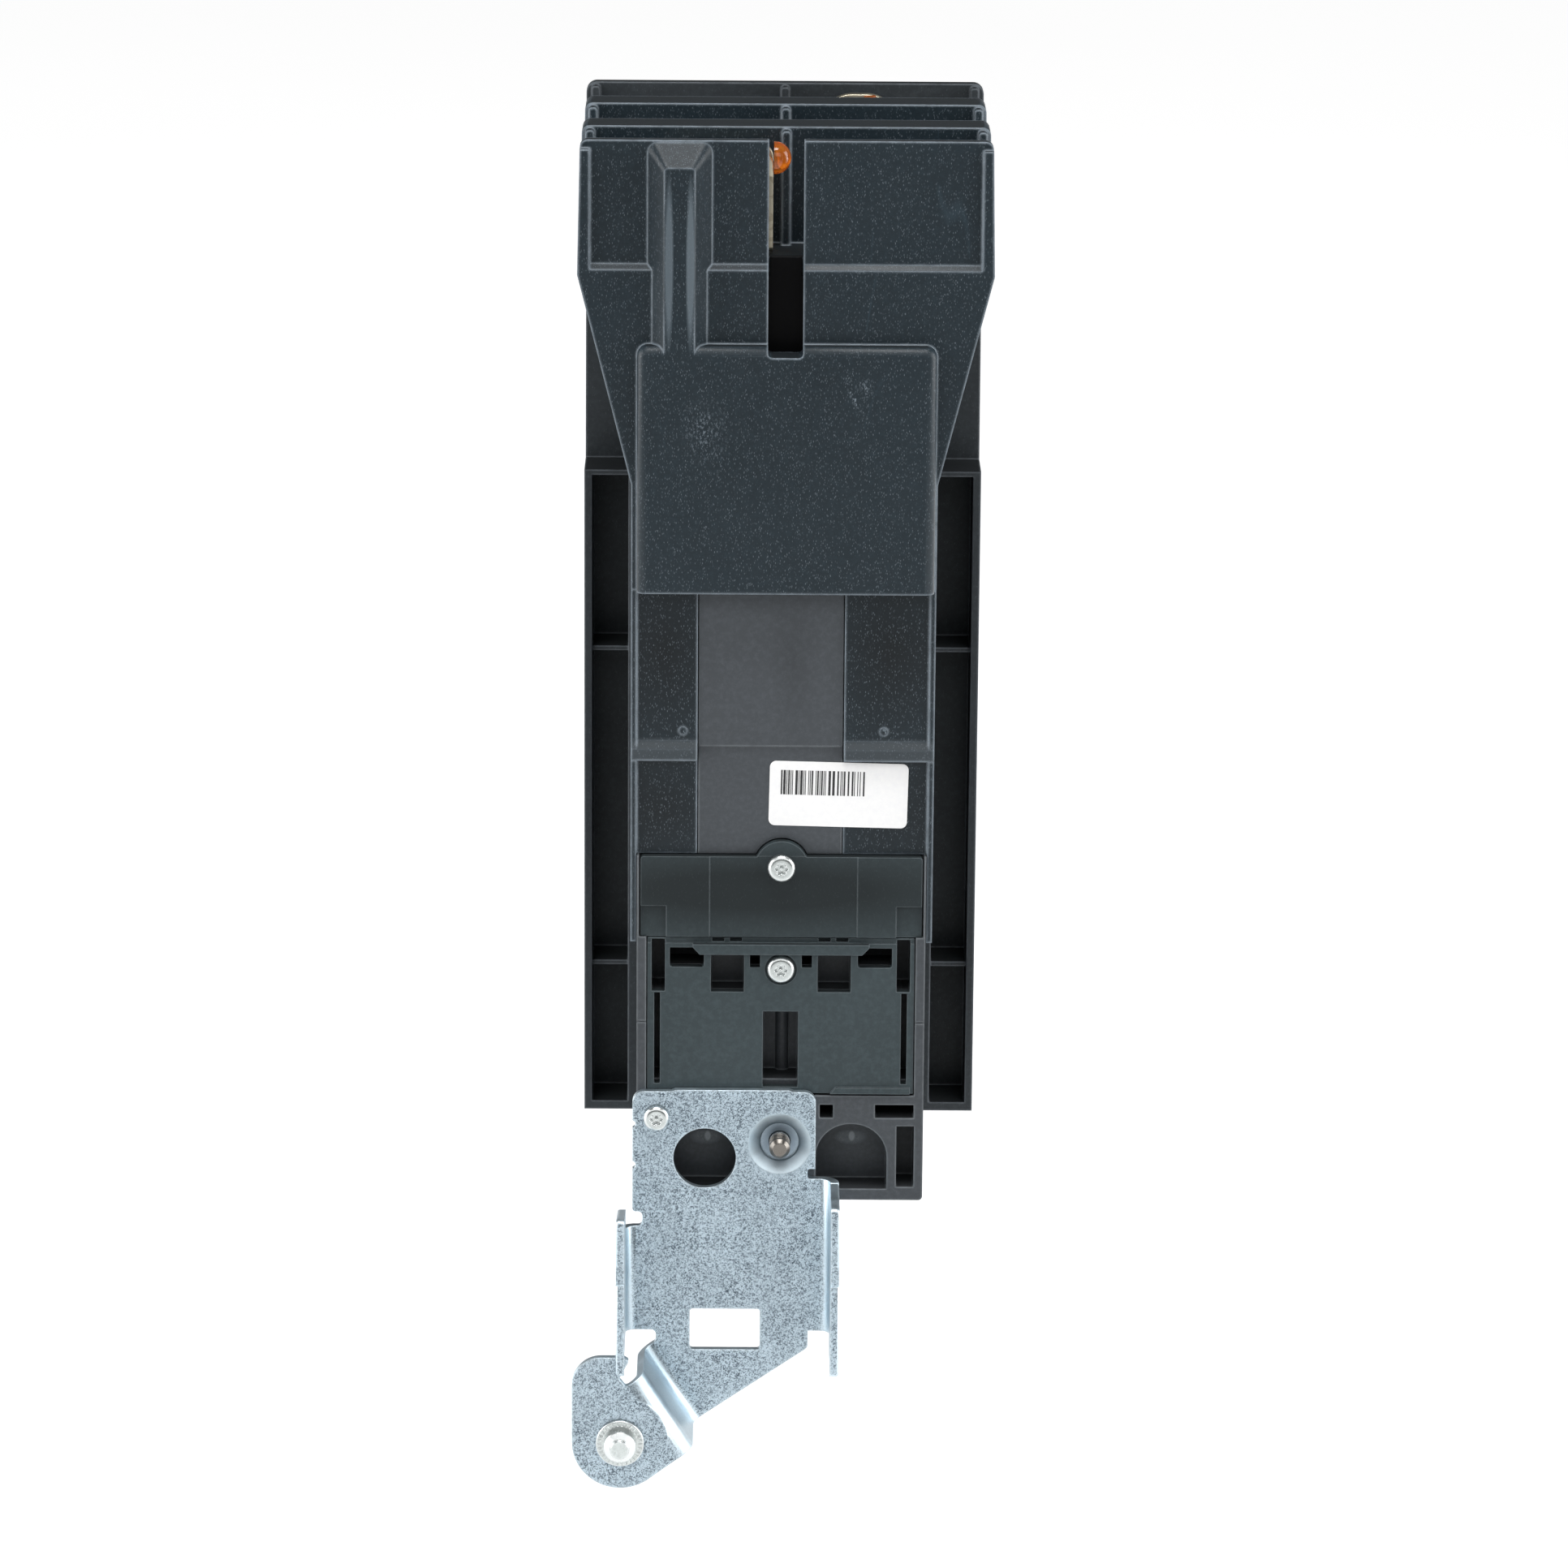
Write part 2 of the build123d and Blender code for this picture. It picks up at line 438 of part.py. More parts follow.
def foot_pad(offset):
    """Foot seen from behind: from the fold's ends round the screw, with a hook beside the left flange."""
    start = (FOLD_TOP[0] + offset.X, FOLD_TOP[1] + offset.Z)
    end = (FOLD_END[0] + offset.X, FOLD_END[1] + offset.Z)
    slope = offset.normalized()
    tangent = (FOOT_X - slope.Z * FOOT_REACH, FOOT_Z + slope.X * FOOT_REACH)
    left = FOOT_X - FOOT_REACH
    outline = [start, (-28.7, -31.3), (-29.9, -29.8), (-28.8, -27.7), (-28.0, -26.2), (-29.0, FOOT_TOP),
               (left, FOOT_TOP), (left, FOOT_Z), (FOOT_X, FOOT_Z), tangent, end]
    pad = slab(outline, FOOT_Y, FOOT_Y + SHEET, {6: 5.5, 4: 0.4, 2: 0.5, 1: 0.3})
    return pad + rod_y(FOOT_REACH, FOOT_Y, FOOT_Y + SHEET, FOOT_X, FOOT_Z)


def mounting_bracket():
    plate = slab(plate_outline(), PLATE_Y, 0,
                 {0: 2.2, 5: 2.2, 7: 0.5, 8: 0.5, 12: 1.2, 15: 1.0, 16: 1.0, 19: 0.9, 20: 0.9, 21: 0.6})
    notches = [rod_y(0.8, -9, 1, PLATE_L - 0.2, z) for z in (15.2, 7.2)]
    window = slab([(-16.8, -29.5), (-3.5, -29.5), (-3.5, -21.3), (-16.8, -21.3)], -9, 1,
                  {0: 0.6, 1: 0.6, 2: 0.6, 3: 0.6})
    holes = [rod_y(CUP_R, -9, 1, -14.1, 8.6), rod_y(1.6, -9, 1, -23.2, 16.6), window]
    plate = plate.cut(*notches, *holes)
    plate -= cone_y(CUP_R, CUP_FLOOR_R, PLATE_Y, 0.01, 0, LOW_HOLE_Z)
    dish = cone_y(CUP_R + 0.35, CUP_FLOOR_R + 0.35, PLATE_Y + 0.3, 1.5, 0, LOW_HOLE_Z)
    dish -= cone_y(CUP_R, CUP_FLOOR_R, PLATE_Y, 0.3, 0, LOW_HOLE_Z)
    dish -= rod_y(2.05, -9, 3, 0, LOW_HOLE_Z)
    fold, offset = foot_fold()
    bend_y, tongue_y = PLATE_Y - BEND_R, FOOT_Y - 0.2
    left = flange(FLANGE_L, [(bend_y, -25.2), (tongue_y, -25.2), (tongue_y, -28.7), (FLANGE_Y, -28.7),
                             (FLANGE_Y, 2.2), (bend_y, -1.0)], -25.5, -4.9)
    right = flange(FLANGE_R, [(bend_y, -28.6), (FLANGE_Y, -28.6), (FLANGE_Y, 4.5), (bend_y, 4.5)],
                   -25.6, 4.6)
    body = plate.fuse(dish, fold, foot_pad(offset), *left, *right)
    steps = [block(x - 2, x + 2, FLANGE_Y - 1, FLANGE_Y + 0.6, FLANGE_STEP_Z - 1.9, FLANGE_STEP_Z + 1.9)
             for x in (FLANGE_L, FLANGE_R)]
    return body.cut(*steps, rod_y(3.3, FOOT_Y - 1, FOOT_Y + 3, FOOT_X, FOOT_Z))


def foot_collar():
    """Clinched collar that keeps the foot screw in the foot."""
    collar = rod_y(4.55, SEAT_Y, FOOT_Y, FOOT_X, FOOT_Z)
    collar = fillet(collar.edges().group_by(Axis.Y)[0], 0.3)
    sleeve = rod_y(3.3, FOOT_Y, FOOT_Y + SHEET, FOOT_X, FOOT_Z)
    flare = rod_y(4.2, FOOT_Y + SHEET, FOOT_Y + SHEET + 0.6, FOOT_X, FOOT_Z)
    centre = Pos(FOOT_X, SEAT_Y, FOOT_Z)
    teeth = [centre * Rot(0, 12 * step, 0) * Pos(3.85, 0, 0) * Box(0.7, 0.3, 0.3) for step in range(30)]
    bore = rod_y(NECK_R + FIT, FOOT_Y - 3, FOOT_Y + 5, FOOT_X, FOOT_Z)
    return collar.fuse(sleeve, flare).cut(bore, *teeth)


def foot_screw():
    """M6 screw with a relieved neck in the collar, a chamfered end and a dog point."""
    neck = rod_y(NECK_R, SEAT_Y, FOOT_HEAD_Y, FOOT_X, FOOT_Z)
    thread = rod_y(FOOT_THREAD_R, SEAT_Y - 2.0, SEAT_Y, FOOT_X, FOOT_Z)
    end = cone_y(1.9, FOOT_THREAD_R, SEAT_Y - 2.8, SEAT_Y - 2.0, FOOT_X, FOOT_Z)
    point = rod_y(1.75, SEAT_Y - 3.6, SEAT_Y - 2.7, FOOT_X, FOOT_Z)
    washer = rod_y(5.8, FOOT_HEAD_Y - 0.4, FOOT_HEAD_Y + 0.6, FOOT_X, FOOT_Z)
    head = Pos(FOOT_X, FOOT_HEAD_Y, FOOT_Z) * Rot(-90, 0, 0) * extrude(RegularPolygon(5.2, 6), 4.0)
    slot = block(FOOT_X - 6, FOOT_X + 6, FOOT_HEAD_Y + 2.8, 0, FOOT_Z - 0.6, FOOT_Z + 0.6)
    return neck.fuse(thread, end, point, washer, head) - slot


# ---- fasteners -----------------------------------------------------------------------------------
def pan_screw(x, z, head_y, head_r, length, shank_r):
    """Pan-head screw with a pinned six-lobe drive, driven from the rear."""
    head = rod_y(head_r, head_y - 1.5, head_y, x, z)
    head = fillet(head.edges().group_by(Axis.Y)[0], 0.9)
    lobes = [rod_y(0.34, head_y - 2, head_y - 0.6, x + 0.85 * dx, z + 0.85 * dz)
             for dx, dz in ((1, 0), (0.5, 0.866), (-0.5, 0.866), (-1, 0), (-0.5, -0.866), (0.5, -0.866))]
    drive = rod_y(0.85, head_y - 2, head_y - 0.6, x, z)
    pin = rod_y(0.28, head_y - 1.4, head_y - 0.5, x, z)
    shank = rod_y(shank_r, head_y - 0.2, head_y + length, x, z)
    return head.cut(drive, *lobes).fuse(pin, shank)


def rear_screws():
    return [pan_screw(0, 65.1, 0.0, 2.6, 8.5, 1.35), pan_screw(0, 45.2, 0.9, 2.6, 7.5, 1.35)]


def bracket_screw():
    return pan_screw(-23.2, 16.6, PLATE_Y, 2.45, 5.0, 1.25)


def mounting_screws():
    """Long M4 screws from the front: one into the bracket's cup, one into the jaw head."""
    screws = []
    for z, tip_y in ((LOW_HOLE_Z, -5.2), (HIGH_HOLE_Z, -1.9)):
        shank = rod_y(1.95, tip_y + 0.8, CASE_D - 3.9, 0, z)
        shank -= [rod_y(3, tip_y + 0.7 * turn, tip_y + 0.7 * turn + 0.3, 0, z)
                  - rod_y(1.65, tip_y, tip_y + 0.7 * turn + 1, 0, z) for turn in range(2, 7)]
        tip = cone_y(1.3, 1.95, tip_y, tip_y + 0.8, 0, z)
        head = fillet(rod_y(3.7, CASE_D - 4, CASE_D - 1.6, 0, z).edges().group_by(Axis.Y)[-1], 0.8)
        cross = [block(-2, 2, CASE_D - 2.8, CASE_D, z - 0.4, z + 0.4),
                 block(-0.4, 0.4, CASE_D - 2.8, CASE_D, z - 2, z + 2)]
        screws.append(shank.fuse(tip, head).cut(*cross))
    return screws


def case_screws():
    """Four screws that close the case, driven from the front."""
    screws = []
    for x, z in CASE_SCREWS:
        shank = rod_y(1.5, 22, CASE_D, x, z)
        head = rod_y(2.7, CASE_D, CASE_D + 1.8, x, z)
        screws.append(shank.fuse(head) - block(x - 3, x + 3, CASE_D + 1.1, CASE_D + 3, z - 0.35, z + 0.35))
    return screws


# ---- current path ----------------------------------------------------------------------------------
ARM_X = 3.2
FINGER_ROOT_Z = HEAD_FLOOR + 1.35


def line_strap(side, x):
    """Copper strap from the jaw's foot down to the fixed contact."""
    strip = [(9.1, 104.0), (11.1, 104.0)]
    if side == "left":
        path = strip + [(11.1, HEAD_FLOOR + 1.4), (9.1, HEAD_FLOOR + 1.4)]
    else:
        y = JAW_Y[side]
        path = strip + [(11.1, 150.0), (y + 1.0, 150.0), (y + 1.0, HEAD_FLOOR + 1.4),
                        (y - 1.0, HEAD_FLOOR + 1.4), (y - 1.0, 152.0), (9.1, 152.0)]
    strap = prism(path, x - 6.0, x + 6.0)
    foot = block(x - 8.0, x + 8.0, JAW_Y[side] - 2.4, JAW_Y[side] + 2.4, HEAD_FLOOR - 3.4, HEAD_FLOOR + 1.4)
    return strap + foot


def jaw_finger(side, x, outward):
    """One jaw finger, on one side of the foot: round root that it rocks on, rounded crown.

    outward is +1 or -1 along Y.
    """
    near, far, flare = 2.8, 4.7, 0.7
    top = JAW_TOP[side]
    bend = top - 5.0
    half_width, centre = JAW_HALF[side], x + JAW_SHIFT[side]
    outline = [(near, FINGER_ROOT_Z), (far, FINGER_ROOT_Z), (far, bend), (far + flare, top),
               (near + flare, top), (near, bend)]
    finger = prism([(JAW_Y[side] + outward * y, z) for y, z in outline], centre - half_width,
                   centre + half_width)
    crown = [edge for edge in finger.edges().filter_by(Axis.Z, reverse=True)
             if edge.center().Z > top - 0.1 and abs(edge.center().X - centre) > half_width - 0.1]
    root_y = JAW_Y[side] + outward * (near + far) / 2
    root = rod_x((far - near) / 2, centre - half_width, centre + half_width, root_y, FINGER_ROOT_Z)
    return fillet(crown, CROWN_R[side]) + root


def fixed_contacts():
    return [block(x - 3.5, x + 3.5, 11.1, 12.6, 105, 111) for x in POLES.values()]


def arm_outline(x):
    """Contact arm in the touching position, from the shaft up to its silver tip."""
    arm = prism([(SHAFT_Y - 3.5, SHAFT_Z + 3), (SHAFT_Y + 3.5, SHAFT_Z + 3), (SHAFT_Y - 3.0, 108.5),
                 (15.6, 111.0), (14.2, 111.0), (14.2, 105.0)], x - ARM_X, x + ARM_X)
    return arm + block(x - ARM_X, x + ARM_X, 13.0, 14.4, 105.4, 110.6)


def moving_arms():
    return [turned(arm_outline(x), SHAFT_Y, SHAFT_Z, OPEN_ANGLE) for x in POLES.values()]


def contact_shaft():
    """Moulded shaft across both poles, with a drum for each arm and a double crank in the middle."""
    shaft = rod_x(SHAFT_R, -JOURNAL_X, JOURNAL_X, SHAFT_Y, SHAFT_Z)
    drums = [rod_x(5.0, x - 6.5, x + 6.5, SHAFT_Y, SHAFT_Z) for x in POLES.values()]
    crank_y, crank_z = CRANK_PIN
    cranks = mirrored(prism([(SHAFT_Y - 2.5, SHAFT_Z), (SHAFT_Y + 2.5, SHAFT_Z),
                             (crank_y + 2.2, crank_z + 2), (crank_y - 2.2, crank_z + 2)], 1.6, 3.6))
    pin = rod_x(PIN_R, -3.0, 3.0, crank_y, crank_z)
    return shaft.fuse(*drums, *cranks, pin).cut(*moving_arms())


def arc_chute_walls(side, x):
    return [block(x + s * 9.0, x + s * 10.0, 17.0, 40.0, 112.0, 127.0) for s in (-1, 1)]


def arc_plates(side, x):
    """Six steel splitter plates with a notch over the arm's path."""
    plates = []
    for index in range(6):
        y = 18.0 + 3.8 * index
        outline = [(x - 8.9, 114.5), (x - 5.0, 114.5), (x - 1.5, 121.0), (x + 1.5, 121.0), (x + 5.0, 114.5),
                   (x + 8.9, 114.5), (x + 8.9, 127.0), (x - 8.9, 127.0)]
        plates.append(slab(outline, y, y + 1.2))
    return plates


def load_strap(side, x):
    """Copper strap from the lug up past the magnet."""
    path = [(23.0, 8.0), (24.4, 8.0), (24.4, 50.0), (23.0, 50.0)]
    return prism(path, x - 3.0, x + 3.0)


def bimetal(side, x):
    return prism([(24.4, 26.0), (26.6, 26.0), (26.6, 30.0), (25.9, 30.0), (27.4, 49.0), (26.6, 49.0),
                  (24.9, 30.0), (24.4, 30.0)], x - 2.5, x + 2.5)


def magnet_yoke(side, x):
    """U-shaped steel yoke round the strap and the bimetal."""
    yoke = block(x - 5.5, x + 5.5, 21.0, 30.0, 33.0, 43.0)
    return yoke - block(x - 4.0, x + 4.0, 22.6, 31.0, 32.0, 44.0)


def armature(side, x):
    plate = block(x - 5.5, x + 5.5, 33.0, 34.2, 31.0, 43.0)
    return plate + rod_x(1.0, x - 6.5, x + 6.5, 33.6, 30.4)


def flexible_link(side, x):
    """Braided link from the contact arm to the bimetal, one smooth S."""
    path = [(29.0, 49.5), (30.6, 49.5), (30.6, 66.0), (27.2, 75.0), (25.6, 75.0), (29.0, 65.6)]
    return prism(path, x - 2.0, x + 2.0)


# ---- load lugs --------------------------------------------------------------------------------------
LUG_SCREW_R = 3.9


def lug_body(side, x):
    body = block(x - 7.0, x + 7.0, 21.4, 41.0, 3.4, 17.0)
    body = chamfer(body.edges().filter_by(Axis.Y), 0.8)
    body -= rod_z(WIRE_R, 0, 30, x, LUG_Y)
    body -= rod_y(LUG_SCREW_R + FIT, LUG_Y + 2, 60, x, LUG_Z)
    return body - block(x - 3.1, x + 3.1, 22.9, 24.6, 0, 30)


def clamp_shoe(side, x):
    return rod_y(3.5, LUG_Y + WIRE_R + 0.2, LUG_Y + WIRE_R + 1.8, x, LUG_Z)


def lug_screw(side, x):
    screw = rod_y(LUG_SCREW_R, LUG_Y + WIRE_R + 2.0, LUG_Y + WIRE_R + 12.0, x, LUG_Z)
    socket = Pos(x, LUG_Y + WIRE_R + 8.0, LUG_Z) * Rot(-90, 0, 0) * extrude(RegularPolygon(2.3, 6), 6)
    return screw - socket


# ---- operating mechanism ---------------------------------------------------------------------------
FRAME_X = 12.0                      # inside faces of the frame's side plates
PIN_R = 1.2
LEVER_Y, LEVER_Z = 38.5, 80.0


def mechanism_frame():
    """Two steel side plates joined by two spacers."""
    outline = [(31.5, 55.0), (56.0, 55.0), (60.0, 66.0), (60.0, 78.0), (52.0, 88.0), (31.5, 88.0)]
    plates = mirrored(prism(outline, FRAME_X, FRAME_X + 1.5))
    spacers = [rod_x(1.5, -FRAME_X - 0.5, FRAME_X + 0.5, 33.2, z) for z in (57.5, 70.0)]
    bores = [rod_x(2.0 + FIT, -20, 20, TOGGLE_Y, TOGGLE_Z),
             rod_x(1.5 + FIT, -20, 20, LEVER_Y, LEVER_Z)]
    return union(plates + spacers).cut(*bores)


def toggle_pin():
    return rod_x(2.0, -FRAME_X - 2.6, FRAME_X + 2.6, TOGGLE_Y, TOGGLE_Z)


def handle_yoke():
    """Steel yoke that carries the toggle inside the frame, with the pin that works the link."""
    outline = [(TOGGLE_Y - 4, TOGGLE_Z - 4), (TOGGLE_Y + 4, TOGGLE_Z - 4), (TOGGLE_Y + 19, TOGGLE_Z - 3),
               (TOGGLE_Y + 19, TOGGLE_Z + 3), (TOGGLE_Y + 5, TOGGLE_Z + 4), (TOGGLE_Y + 2, TOGGLE_Z + 13),
               (TOGGLE_Y - 2, TOGGLE_Z + 13)]
    arms = mirrored(prism(outline, FRAME_X - 2.0, FRAME_X - 0.6))
    bridge = block(-FRAME_X + 0.6, FRAME_X - 0.6, TOGGLE_Y + 17.7, TOGGLE_Y + 19,
                   TOGGLE_Z - 3, TOGGLE_Z + 3)
    link_pin = rod_x(PIN_R, -FRAME_X + 1.0, FRAME_X - 1.0, TOGGLE_Y, TOGGLE_Z + LINK_ARM)
    body = union(arms + [bridge, link_pin]) - rod_x(2.0, -20, 20, TOGGLE_Y, TOGGLE_Z)
    return turned(body, TOGGLE_Y, TOGGLE_Z, OFF_ANGLE)


def toggle_handle():
    """Moulded toggle with a curved shield that keeps the slot closed."""
    root = TOGGLE_Y + 19
    grip = prism([(root, TOGGLE_Z - 5.5), (root + 10, TOGGLE_Z - 5.5), (TOGGLE_Y + 45, TOGGLE_Z - 3.2),
                  (TOGGLE_Y + 45, TOGGLE_Z + 3.2), (root + 10, TOGGLE_Z + 5.5), (root, TOGGLE_Z + 5.5)],
                 -6.5, 6.5)
    grip = fillet([edge for edge in grip.edges() if edge.center().Y > TOGGLE_Y + 44], 1.2)
    shield = rod_x(25.5, -9.0, 9.0, TOGGLE_Y, TOGGLE_Z) - rod_x(24.0, -10, 10, TOGGLE_Y, TOGGLE_Z)
    wedge = prism([(TOGGLE_Y, TOGGLE_Z), (TOGGLE_Y + 16, TOGGLE_Z - 29), (TOGGLE_Y + 40, TOGGLE_Z - 29),
                   (TOGGLE_Y + 40, TOGGLE_Z + 29), (TOGGLE_Y + 16, TOGGLE_Z + 29)], -10, 10)
    return turned(grip + (shield & wedge), TOGGLE_Y, TOGGLE_Z, OFF_ANGLE)


def drive_link():
    """Link from the yoke's pin to the crank; a wide eye at the yoke's end takes up its arc."""
    crank_y, crank_z = CRANK_PIN
    yoke_y, yoke_z = YOKE_PIN
    run_y, run_z = yoke_y - crank_y, yoke_z - crank_z
    length = (run_y ** 2 + run_z ** 2) ** 0.5
    off_y, off_z = -run_z / length * 1.6, run_y / length * 1.6
    bar = prism([(crank_y - off_y, crank_z - off_z), (yoke_y - off_y, yoke_z - off_z),
                 (yoke_y + off_y, yoke_z + off_z), (crank_y + off_y, crank_z + off_z)], -1.2, 1.2)
    eyes = [rod_x(2.6, -1.2, 1.2, y, z) for y, z in (CRANK_PIN, YOKE_PIN)]
    holes = [rod_x(PIN_R + FIT, -2, 2, crank_y, crank_z), rod_x(PIN_R + 0.35, -2, 2, yoke_y, yoke_z)]
    return bar.fuse(*eyes).cut(*holes)


def latch_lever():
    """Latched lever on its pivot in the middle of the frame."""
    lever = prism([(LEVER_Y - 2.0, LEVER_Z - 1), (LEVER_Y + 1, LEVER_Z + 3), (LEVER_Y + 3.5, LEVER_Z - 1),
                   (LEVER_Y + 2, LEVER_Z - 28), (LEVER_Y - 0.5, LEVER_Z - 28)], -2.5, 2.5)
    return lever + rod_x(1.5, -FRAME_X - 1.3, FRAME_X + 1.3, LEVER_Y, LEVER_Z)


def trip_bar():
    """Moulded bar across both poles, with one flag for the button."""
    bar = rod_x(BAR_R, -JOURNAL_X, JOURNAL_X, BAR_Y, BAR_Z)
    flag = block(BUTTON_X - 2, BUTTON_X + 2, BAR_Y - 0.5, BAR_Y + 1.5, BAR_Z - 7.0, BAR_Z)
    hooks = [block(x - 2, x + 2, BAR_Y - 4.0, BAR_Y, BAR_Z - 1.0, BAR_Z + 1.0) for x in POLES.values()]
    return bar.fuse(flag, *hooks)


def trip_button():
    cap = rod_y(2.8, NOSE_D - 4.6, NOSE_D + 0.6, BUTTON_X, BUTTON_Z)
    cap = fillet(cap.edges().group_by(Axis.Y)[-1], 0.5)
    collar = rod_y(3.8, NOSE_D - 5.8, NOSE_D - 4.4, BUTTON_X, BUTTON_Z)
    stem = rod_y(1.4, BAR_Y + 4.6, NOSE_D - 5.0, BUTTON_X, BUTTON_Z)
    return cap.fuse(collar, stem)


def button_spring():
    """Return spring round the button's stem, drawn as its coils' closed envelope."""
    coils = rod_y(2.6, NOSE_D - 13.0, NOSE_D - 6.0, BUTTON_X, BUTTON_Z)
    return coils - rod_y(1.9, 0, 100, BUTTON_X, BUTTON_Z)


# ---- label and jaw grease -------------------------------------------------------------------------
def blank_label():
    """White paper label, its corner trimmed where it tucks under the ramp."""
    paper = extrude(RectangleRounded(25.8, 12.4, 1.2), 0.1)
    sheet = Pos(10.5, 1.6, 78.8) * Rot(0, 1.2, 0) * Rot(90, 0, 0) * paper
    return sheet - block(STRIP_R - 0.3, 40, 0, 3, RAMP_Z0 - 0.05, 100)


def contact_grease(side, x):
    """Contact grease: a bead on the left jaw's rear finger, a smear on the right jaw's front crown."""
    if side == "left":
        edge_x = x + JAW_SHIFT[side] + JAW_HALF[side]
        blob = Pos(edge_x + 0.25, JAW_Y[side] - 3.7, 197.7) * Sphere(3.0)
        blob -= block(edge_x - 10, edge_x + 0.1, 0, 20, 190, 210)
        return blob - jaw_finger(side, x, -1)
    smear = Pos(x + 2.6, JAW_Y[side] + 3.0, JAW_TOP[side] - 0.9) * Sphere(1.3)
    smear -= block(x, x + 6, 50, 70, JAW_TOP[side] - 0.1, HEAD_TOP)
    return smear - jaw_finger(side, x, 1)


SINGLE = {
    "adaptor_housing": adaptor_housing, "slot_insulator": slot_insulator, "front_cover": front_cover,
    "base_case": base_case, "rear_cover": rear_cover, "rear_panel": rear_panel,
    "base_cover": base_cover, "mounting_bracket": mounting_bracket, "foot_collar": foot_collar,
    "foot_screw": foot_screw, "rear_screws": rear_screws, "bracket_screw": bracket_screw,
    "mounting_screws": mounting_screws, "case_screws": case_screws, "fixed_contacts": fixed_contacts,
    "moving_arms": moving_arms, "contact_shaft": contact_shaft, "mechanism_frame": mechanism_frame,
    "toggle_pin": toggle_pin, "handle_yoke": handle_yoke, "toggle_handle": toggle_handle,
    "drive_link": drive_link, "latch_lever": latch_lever, "trip_bar": trip_bar,
    "trip_button": trip_button, "button_spring": button_spring, "blank_label": blank_label,
}
PER_POLE = {
    "line_strap": line_strap, "arc_chute_walls": arc_chute_walls, "arc_plates": arc_plates,
    "load_strap": load_strap, "bimetal": bimetal, "magnet_yoke": magnet_yoke, "armature": armature,
    "flexible_link": flexible_link, "lug_body": lug_body, "clamp_shoe": clamp_shoe,
    "lug_screw": lug_screw, "contact_grease": contact_grease,
}

os.makedirs("parts", exist_ok=True)
for name, make in SINGLE.items():
    save(name, make())
for name, make in PER_POLE.items():
    for side, x in POLES.items():
        save(f"{name}_{side}", make(side, x))
for side, x in POLES.items():
    save(f"jaw_finger_rear_{side}", jaw_finger(side, x, -1))
    save(f"jaw_finger_front_{side}", jaw_finger(side, x, 1))
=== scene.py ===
import json
import math
import random

import bpy
from mathutils import Matrix, Vector


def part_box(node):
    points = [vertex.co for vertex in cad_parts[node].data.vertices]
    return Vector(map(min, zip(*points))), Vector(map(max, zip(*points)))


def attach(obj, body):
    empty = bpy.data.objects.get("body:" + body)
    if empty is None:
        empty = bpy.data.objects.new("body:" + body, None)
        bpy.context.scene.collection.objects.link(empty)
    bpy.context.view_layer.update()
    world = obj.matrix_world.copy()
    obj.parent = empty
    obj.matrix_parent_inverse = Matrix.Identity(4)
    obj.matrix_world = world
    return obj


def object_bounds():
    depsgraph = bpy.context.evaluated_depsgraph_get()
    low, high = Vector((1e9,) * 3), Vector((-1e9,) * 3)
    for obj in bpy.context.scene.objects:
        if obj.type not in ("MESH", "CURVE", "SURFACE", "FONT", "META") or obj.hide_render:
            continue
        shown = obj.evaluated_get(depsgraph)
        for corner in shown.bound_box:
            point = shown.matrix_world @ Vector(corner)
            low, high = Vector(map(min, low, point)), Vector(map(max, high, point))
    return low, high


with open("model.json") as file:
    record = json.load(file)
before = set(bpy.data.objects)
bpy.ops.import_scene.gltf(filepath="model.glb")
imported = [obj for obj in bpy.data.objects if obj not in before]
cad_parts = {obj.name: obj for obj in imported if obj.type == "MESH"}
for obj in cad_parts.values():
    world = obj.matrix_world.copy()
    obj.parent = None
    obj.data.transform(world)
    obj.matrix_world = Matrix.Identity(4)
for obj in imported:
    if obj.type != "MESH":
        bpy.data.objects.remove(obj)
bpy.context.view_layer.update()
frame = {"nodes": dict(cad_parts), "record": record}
MM = 0.001

# ---- where things are ----------------------------------------------------------------------------
case_low, case_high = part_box("base_case")
MID_X = (case_low.x + case_high.x) / 2
REAR_Y = case_low.y
BASE_Z = case_low.z


def at(x, y, z):
    """Point in mm from the case's lower rear edge, on the line between the poles."""
    return Vector((MID_X + x * MM, REAR_Y + y * MM, BASE_Z + z * MM))


# ---- node helpers --------------------------------------------------------------------------------
NORMAL_Y, NORMAL_Z = 1, 2
BEVEL_SAMPLES = 6


